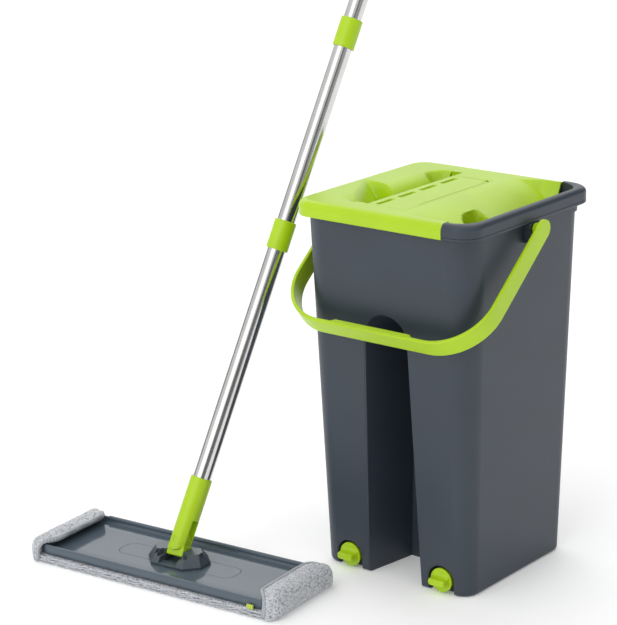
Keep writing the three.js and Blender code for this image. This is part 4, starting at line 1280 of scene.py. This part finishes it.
class MOP_OT_pole(bpy.types.Operator):
    """Make the steel tubes, green connectors, inner sockets, top grip and hanging loop"""

    bl_idname = "mop_bucket.pole"
    bl_label = "Pole"

    def execute(self, context):
        head = sizes(context, "mop_head")
        pole = sizes(context, "mop_pole")
        matrix = pole_matrix(head, pole)
        lime = finish_for(context, LIME)
        dark = finish_for(context, DARK)
        steel = finish_for(context, "Stainless_steel_polished")
        lows = [46 - pole.pin_offset]
        lows += [collar_start(pole, i) + pole.collar_length / 2 for i in range(pole.collars)]
        highs = [collar_start(pole, i) + 6 for i in range(pole.collars)]
        highs.append(pole.top - 40 - pole.pin_offset)
        for i, (low, high) in enumerate(zip(lows, highs)):
            tube = pipe(f"steel_tube_{i + 1}", pole.tube, pole.tube - 0.9, low + CLEARANCE, high)
            place(tube, matrix)
            finish_piece(shade(tube, 40), "pole", "polished_steel", steel, f"pole_tube_{i + 1}")
        for i in range(pole.collars):
            collar = self.collar(pole, i)
            place(collar, matrix)
            collar.name = f"connector_{i + 1}"
            finish_piece(shade(collar, 40), "pole", "lime_plastic", lime, f"pole_collar_{i + 1}")
            end = collar_start(pole, i) + 6 - CLEARANCE
            socket = turned("socket", drum(pole.tube - 1.25, end - 34, end, 0.6), 40)
            cut(socket, turned("thread", [(6.75, end - 30), (6.75, end + 5)], 32))
            place(socket, matrix)
            socket.name = f"thread_socket_{i + 1}"
            finish_piece(shade(socket), "pole", "dark_plastic", dark, f"thread_insert_{i + 1}")
        grip = self.grip(pole)
        place(grip, matrix)
        finish_piece(shade(grip, 40), "pole", "lime_plastic", lime, "hand_grip")
        loop = self.loop(pole)
        place(loop, matrix)
        finish_piece(shade(loop, 40), "pole", "lime_plastic", lime, "hang_loop")
        return {"FINISHED"}

    def collar(self, pole, i):
        """Connector: a plain sleeve with a threaded spigot inside."""
        start = collar_start(pole, i)
        middle, end = start + pole.collar_length / 2, start + pole.collar_length
        body = turned("connector", drum(pole.collar, start, end, 1.1), 64)
        cut(body, socket_tool("lower", pole, start - 2, start + 6 + CLEARANCE, 64))
        upper = pipe("upper", pole.tube + CLEARANCE, pole.tube - 1.25, middle, end + 3)
        cut(body, upper)
        spigot = turned("spigot", drum(6.4, start - 18, start + 8, 0.8), 32)
        return join(body, spigot)

    def grip(self, pole):
        """Waisted hand grip with shallow finger rings."""
        end = pole.top - pole.pin_offset
        start = end - pole.grip_length
        profile = [(pole.tube + 0.4, start)] + arc((pole.grip - 2.4, start + 1.8), 1.8, -90, 0, 4)
        count = 44
        for i in range(count + 1):
            t = i / count
            waist = pole.grip - 1.1 * math.sin(math.pi * t)
            ring = 0.35 * max(math.sin(t * math.tau * 8), 0) ** 2 if 0.12 < t < 0.88 else 0
            profile.append((waist - ring, start + 3 + (pole.grip_length - 9) * t))
        profile += arc((pole.grip - 4, end - 4), 4, 0, 90, 6)
        body = turned("grip_body", profile, 56)
        return cut(body, socket_tool("socket", pole, start - 1, end - 38, 56))

    def loop(self, pole):
        """Flat ring above the grip for hanging the mop up."""
        base = pole.top - pole.pin_offset + CLEARANCE
        centre = (0, 0, base + 14)
        ring = turned("hanging_loop", drum(13, -4, 4, 1.5), 56, "y", centre)
        foot = block("foot", -9, 9, -4, 4, base, base + 12)
        soften(foot, 1.2)
        join(ring, foot)
        cut(ring, turned("eye", [(7.5, -9), (7.5, 9)], 48, "y", centre))
        return soften(ring, 0.8, 50)


# ------------------------------------------------------------------ pad
def strand(head, start, height, seed):
    """A wavy yarn that runs along the pad's front or back edge."""
    steps = 150
    reach = head.pad_length / 2 - 11
    rings = []
    for i in range(steps + 1):
        x = -reach + 2 * reach * i / steps
        at = Vector((x * 0.1, seed * 7.3, 0))
        sway = 1.2 * noise.noise(at * 1.3)
        lift = 2.0 * noise.noise(at * 1.4 + Vector((31.7, 0, 0)))
        thick = head.yarn / 2 * (1 + 0.35 * noise.noise(at * 2.3 + Vector((0, 11.1, 0))))
        ring = []
        for k in range(8):
            a = math.tau * k / 8
            z = max(height + lift + thick * math.sin(a), 0.05)
            ring.append((x, start + math.copysign(sway + thick * math.cos(a), start), z))
        rings.append(ring)
    return loft("strand", rings)


class MOP_OT_pad(bpy.types.Operator):
    """Make the looped pad, its two end pockets, their bindings and the tab"""

    bl_idname = "mop_bucket.pad"
    bl_label = "Microfibre pad"

    def execute(self, context):
        head = sizes(context, "mop_head")
        pile = finish_for(context, "Microfibre_looped_pile")
        matrix = mop_matrix(head)
        half_x, half_y = head.pad_length / 2 - 13, head.pad_width / 2
        profile = [(8, 0.0), (4, 0.2), (3.0, 1.6), (2.8, 4), (3.0, 6.4), (5, head.pad_top - 0.3)]
        profile += [(14, head.pad_top - 0.3)]
        rings = []
        for o, z in profile:
            rings.append([(x, y, z) for x, y, _ in rounded_ring(half_x, half_y - o, 0.2, 0, 1)])
        pad = loft("pad_pile", rings)
        place(pad, matrix)
        shade(pad, 60)
        finish_piece(pad, "mop_head", "pad_microfibre", pile, "mop_pad")
        yarn = finish_for(context, "Microfibre_yarn")
        rows = []
        for sign in (-1, 1):
            for k, height in enumerate((1.1, 2.9, 4.6, 6.2, 7.6)):
                inset = 1.2 + 0.7 * (k % 2)
                rows.append(strand(head, sign * (half_y - inset), height, k + 10 * sign))
        strands = merge(rows[0], rows[1:])
        strands.name = "pad_yarn"
        place(keep_above_floor(strands), matrix)
        shade(strands, 60)
        strands.data.materials.append(yarn)
        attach(strands, "mop_head")
        tape = finish_for(context, "Polyester_tape_grey")
        for side, sign in (("left", -1), ("right", 1)):
            pocket = self.pocket(head, sign)
            place(pocket, matrix)
            shade(pocket, 60)
            pocket.name = f"pocket_{side}"
            finish_piece(pocket, "mop_head", "pad_microfibre", pile, f"pad_pocket_{side}")
            binding = self.binding(head, sign)
            place(binding, matrix)
            shade(binding, 60)
            binding.name = f"binding_{side}"
            binding.data.materials.append(tape)
            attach(binding, "mop_head")
        self.tab(context, head, matrix)
        return {"FINISHED"}

    def crown(self, head, y):
        """Height of a pocket's top across the pad: level, then down to the floor at both ends."""
        u = min(abs(y) / (head.pad_width / 2 + 0.4), 1.0)
        return 3.5 + (head.pocket_top - 3.5) * (1 - u**13) ** 0.5

    def curl(self, head, y):
        """How far a pocket's inner edge draws back towards the pad's end, near both sides."""
        return 14 * blend_step((abs(y) - head.pad_width / 2 + 20) / 20)

    def pocket(self, head, sign):
        """The pad's end, wrapped up round the plate's end and back over its top."""
        half_x, half_y = head.pad_length / 2 + 3.2, head.pad_width / 2
        rings = []
        count = 64
        for i in range(count + 1):
            t = -1 + 2 * i / count
            y = half_y * math.sin(t * math.pi / 2)
            past = max(abs(y) - (half_y - 13), 0) / 13
            corner = 11 * (1 - math.sqrt(max(1 - past * past, 0)))
            top = self.crown(head, y)
            reach = head.pocket_reach + 3.2 - self.curl(head, y)
            shape = [(0.95, 0.0), (0.55, 0.0), (0.24, 0.01), (0.1, 0.08), (0.03, 0.2), (0, 0.36)]
            shape += [(0.01, 0.5), (0.05, 0.68), (0.13, 0.83), (0.26, 0.94), (0.41, 0.99), (0.58, 1.0)]
            shape += [(0.75, 0.985), (0.9, 0.95), (0.98, 0.9), (1.0, 0.82)]
            ring = []
            for share, level in shape:
                inward = reach * share
                z = 0.3 + (top - 0.3) * level
                wave = 0.8 * noise.noise(Vector((y * 0.06, inward * 0.1, sign * 3.0)))
                shifted = inward + corner * max(1 - inward / (reach - 3), 0)
                ring.append((sign * (half_x - shifted), y, z + (wave if level > 0.5 else 0)))
            rings.append(ring)
        made = loft("pocket", rings)
        fine = made.modifiers.new("fine", "SUBSURF")
        fine.levels = 2
        fine.render_levels = 2
        apply_modifiers(made)
        tuft(made, 0.5)
        plate_x, plate_y = head.plate_length / 2 + 0.5, head.plate_width / 2 + 0.5
        near, far = sorted((sign * 90, sign * plate_x))
        low, high = head.pad_top + 0.2, head.plate_top + 0.8
        room = block("plate room", near, far, -plate_y, plate_y, low, high)
        return cut(made, room)

    def binding(self, head, sign):
        """Tape folded over the pocket's inner edge, from the floor in front to the floor behind."""
        rings = []
        count = 72
        for i in range(count + 1):
            t = -1 + 2 * i / count
            y = (head.pad_width / 2 + 0.3) * math.sin(t * math.pi / 2)
            wave = 0.8 * noise.noise(Vector((y * 0.06, head.pocket_reach * 0.1, sign * 3.0)))
            top = 0.88 * self.crown(head, y) + wave
            drop = blend_step((abs(y) - 44) / 13)
            edge = head.pad_length / 2 - head.pocket_reach + self.curl(head, y)
            ring = []
            for u, v in arc((0, 0), 1, 0, 360, 14)[:-1]:
                side = math.copysign(v * 2.4 * drop, y)
                ring.append((sign * (edge - 2.2 * u), y + side, top + 2.9 * v * (1 - 0.7 * drop)))
            rings.append(ring)
        return loft("binding", rings)

    def tab(self, context, head, matrix):
        """Small folded tab sewn at the pad's front edge."""
        x = head.pad_length / 2 - head.pocket_reach - 4.5
        y = -head.plate_width / 2 - 0.6
        rings = []
        for i in range(7):
            t = i / 6
            bulge = 0.5 * math.sin(math.pi * t)
            section = rounded_section(4.2, 1.0 + bulge, 0.8)
            rings.append([(x + u, y - 1.8 - w, 8.8 + 4.4 * t) for u, w in section])
        made = loft("pad_tab_fold", rings)
        place(made, matrix)
        shade(made, 50)
        green = finish_for(context, "Polyester_tape_green")
        finish_piece(made, "mop_head", "tab_fabric", green, "pad_tab")


def tuft(made, height):
    """Roughens a pile surface by moving each vertex along its normal."""
    for vertex in made.data.vertices:
        at = vertex.co / MM
        push = noise.noise(at * 0.45) + 0.6 * noise.noise(at * 0.9)
        vertex.co += vertex.normal * (height * push * MM)
    return keep_above_floor(made)


def keep_above_floor(made):
    """Flattens what hangs below the pad's underside, where it lies on the floor."""
    for vertex in made.data.vertices:
        vertex.co.z = max(vertex.co.z, 0)
    made.data.update()
    return made


def merge(base, others):
    """Puts several meshes into one object without cutting them."""
    work = bmesh.new()
    for made in (base, *others):
        work.from_mesh(made.data)
    work.to_mesh(base.data)
    work.free()
    for made in others:
        bpy.data.objects.remove(made)
    return base


# ------------------------------------------------------------------ stage
class MOP_OT_stage(bpy.types.Operator):
    """Make the pale floor, the soft lights and the camera"""

    bl_idname = "mop_bucket.stage"
    bl_label = "Stage"

    def execute(self, context):
        scene = context.scene
        far = 40000
        corners = [(-far, -far, 0), (far, -far, 0), (far, far, 0), (-far, far, 0)]
        floor = make_object("floor", corners, [(0, 1, 2, 3)])
        material, shader, _ = new_material("Paper_backdrop_white", {"Roughness": 0.9})
        shader.inputs["Base Color"].default_value = (0.93, 0.93, 0.93, 1)
        # The floor glows a little, so that contact shadows stay pale.
        shader.inputs["Emission Color"].default_value = (1, 1, 1, 1)
        shader.inputs["Emission Strength"].default_value = 0.13
        floor.data.materials.append(material)
        self.world(scene)
        self.sun("key_sun", (0.15, 0.18, -0.97), 1.7, 140)
        self.sun("fill_sun", (-0.65, 0.45, -0.6), 0.5, 150)
        self.camera(scene)
        scene.view_settings.view_transform = "Standard"
        return {"FINISHED"}

    def world(self, scene):
        """White surroundings with two dark flags, which draw the bands on polished steel."""
        world = bpy.data.worlds.new("Studio")
        world.use_nodes = True
        tree = world.node_tree
        background = tree.nodes["Background"]
        background.inputs["Strength"].default_value = 0.8
        places = tree.nodes.new("ShaderNodeTexCoord")
        turn = tree.nodes.new("ShaderNodeMapping")
        turn.inputs["Rotation"].default_value = (0, 0, math.radians(50.8))
        around = tree.nodes.new("ShaderNodeTexGradient")
        around.gradient_type = "RADIAL"
        bands = tree.nodes.new("ShaderNodeValToRGB")
        elements = bands.color_ramp.elements
        stops = [(-180, 1.3), (-145, 1.3), (-135, 0.25), (-68, 0.3), (-58, 1.4), (-20, 1.4)]
        stops += [(-13, 0.02), (22, 0.02), (31, 0.34), (82, 0.28), (92, 0.1), (140, 0.2)]
        stops += [(155, 1.3), (180, 1.3)]
        for _ in stops[2:]:
            elements.new(0.5)
        for element, (degrees, value) in zip(elements, stops):
            element.position = degrees / 360 + 0.5
            element.color = (value, value, value, 1)
        tree.links.new(places.outputs["Generated"], turn.inputs["Vector"])
        tree.links.new(turn.outputs["Vector"], around.inputs["Vector"])
        tree.links.new(around.outputs["Fac"], bands.inputs["Fac"])
        tree.links.new(bands.outputs["Color"], background.inputs["Color"])
        scene.world = world

    def sun(self, name, toward, strength, spread):
        """A very broad, even light from one direction."""
        data = bpy.data.lights.new(name, "SUN")
        data.energy = strength
        data.angle = math.radians(spread)
        lamp = bpy.data.objects.new(name, data)
        lamp.location = (0, 0, 3)
        lamp.rotation_euler = Vector(toward).to_track_quat("-Z", "Y").to_euler()
        bpy.context.scene.collection.objects.link(lamp)

    def camera(self, scene):
        azimuth, elevation, roll = (math.radians(v) for v in (39.2045, 16.397, -1.247))
        back = Vector(
            (
                math.sin(azimuth) * math.cos(elevation),
                -math.cos(azimuth) * math.cos(elevation),
                math.sin(elevation),
            )
        )
        right = Vector((math.cos(azimuth), math.sin(azimuth), 0))
        up = back.cross(right)
        data = bpy.data.cameras.new("camera")
        data.sensor_width = 36
        data.lens = 128.37
        camera = bpy.data.objects.new("camera", data)
        across = math.cos(roll) * right + math.sin(roll) * up
        upward = -math.sin(roll) * right + math.cos(roll) * up
        pose = Matrix((across, upward, back)).transposed().to_4x4()
        pose.translation = Vector((1.3168, -1.8401, 0.9412))
        camera.matrix_world = pose
        scene.collection.objects.link(camera)
        scene.camera = camera


# ------------------------------------------------------------------ add-on
OPERATORS = (
    MOP_OT_tub,
    MOP_OT_cover,
    MOP_OT_insert,
    MOP_OT_rack,
    MOP_OT_drains,
    MOP_OT_bail,
    MOP_OT_plate,
    MOP_OT_bracket,
    MOP_OT_joint,
    MOP_OT_pole,
    MOP_OT_pad,
    MOP_OT_stage,
)


class MOP_PT_panel(bpy.types.Panel):
    """Buttons for every piece of the bucket and mop, and their sizes"""

    bl_idname = "MOP_PT_panel"
    bl_label = "Mop Bucket"
    bl_space_type = "VIEW_3D"
    bl_region_type = "UI"
    bl_category = "Mop Bucket"

    def draw(self, context):
        for operator in OPERATORS:
            self.layout.operator(operator.bl_idname)
        for name, group in SIZE_GROUPS.items():
            box = self.layout.box()
            box.label(text=name.replace("_", " "))
            for key in group.__annotations__:
                box.prop(getattr(context.scene, name), key)


def register():
    for cls in (*SIZE_GROUPS.values(), *OPERATORS, MOP_PT_panel):
        bpy.utils.register_class(cls)
    for name, group in SIZE_GROUPS.items():
        setattr(bpy.types.Scene, name, PointerProperty(type=group))


def unregister():
    for name in SIZE_GROUPS:
        delattr(bpy.types.Scene, name)
    for cls in reversed((*SIZE_GROUPS.values(), *OPERATORS, MOP_PT_panel)):
        bpy.utils.unregister_class(cls)


def main():
    register()
    for operator in OPERATORS:
        group, name = operator.bl_idname.split(".")
        getattr(getattr(bpy.ops, group), name)()


if __name__ == "__main__":
    main()
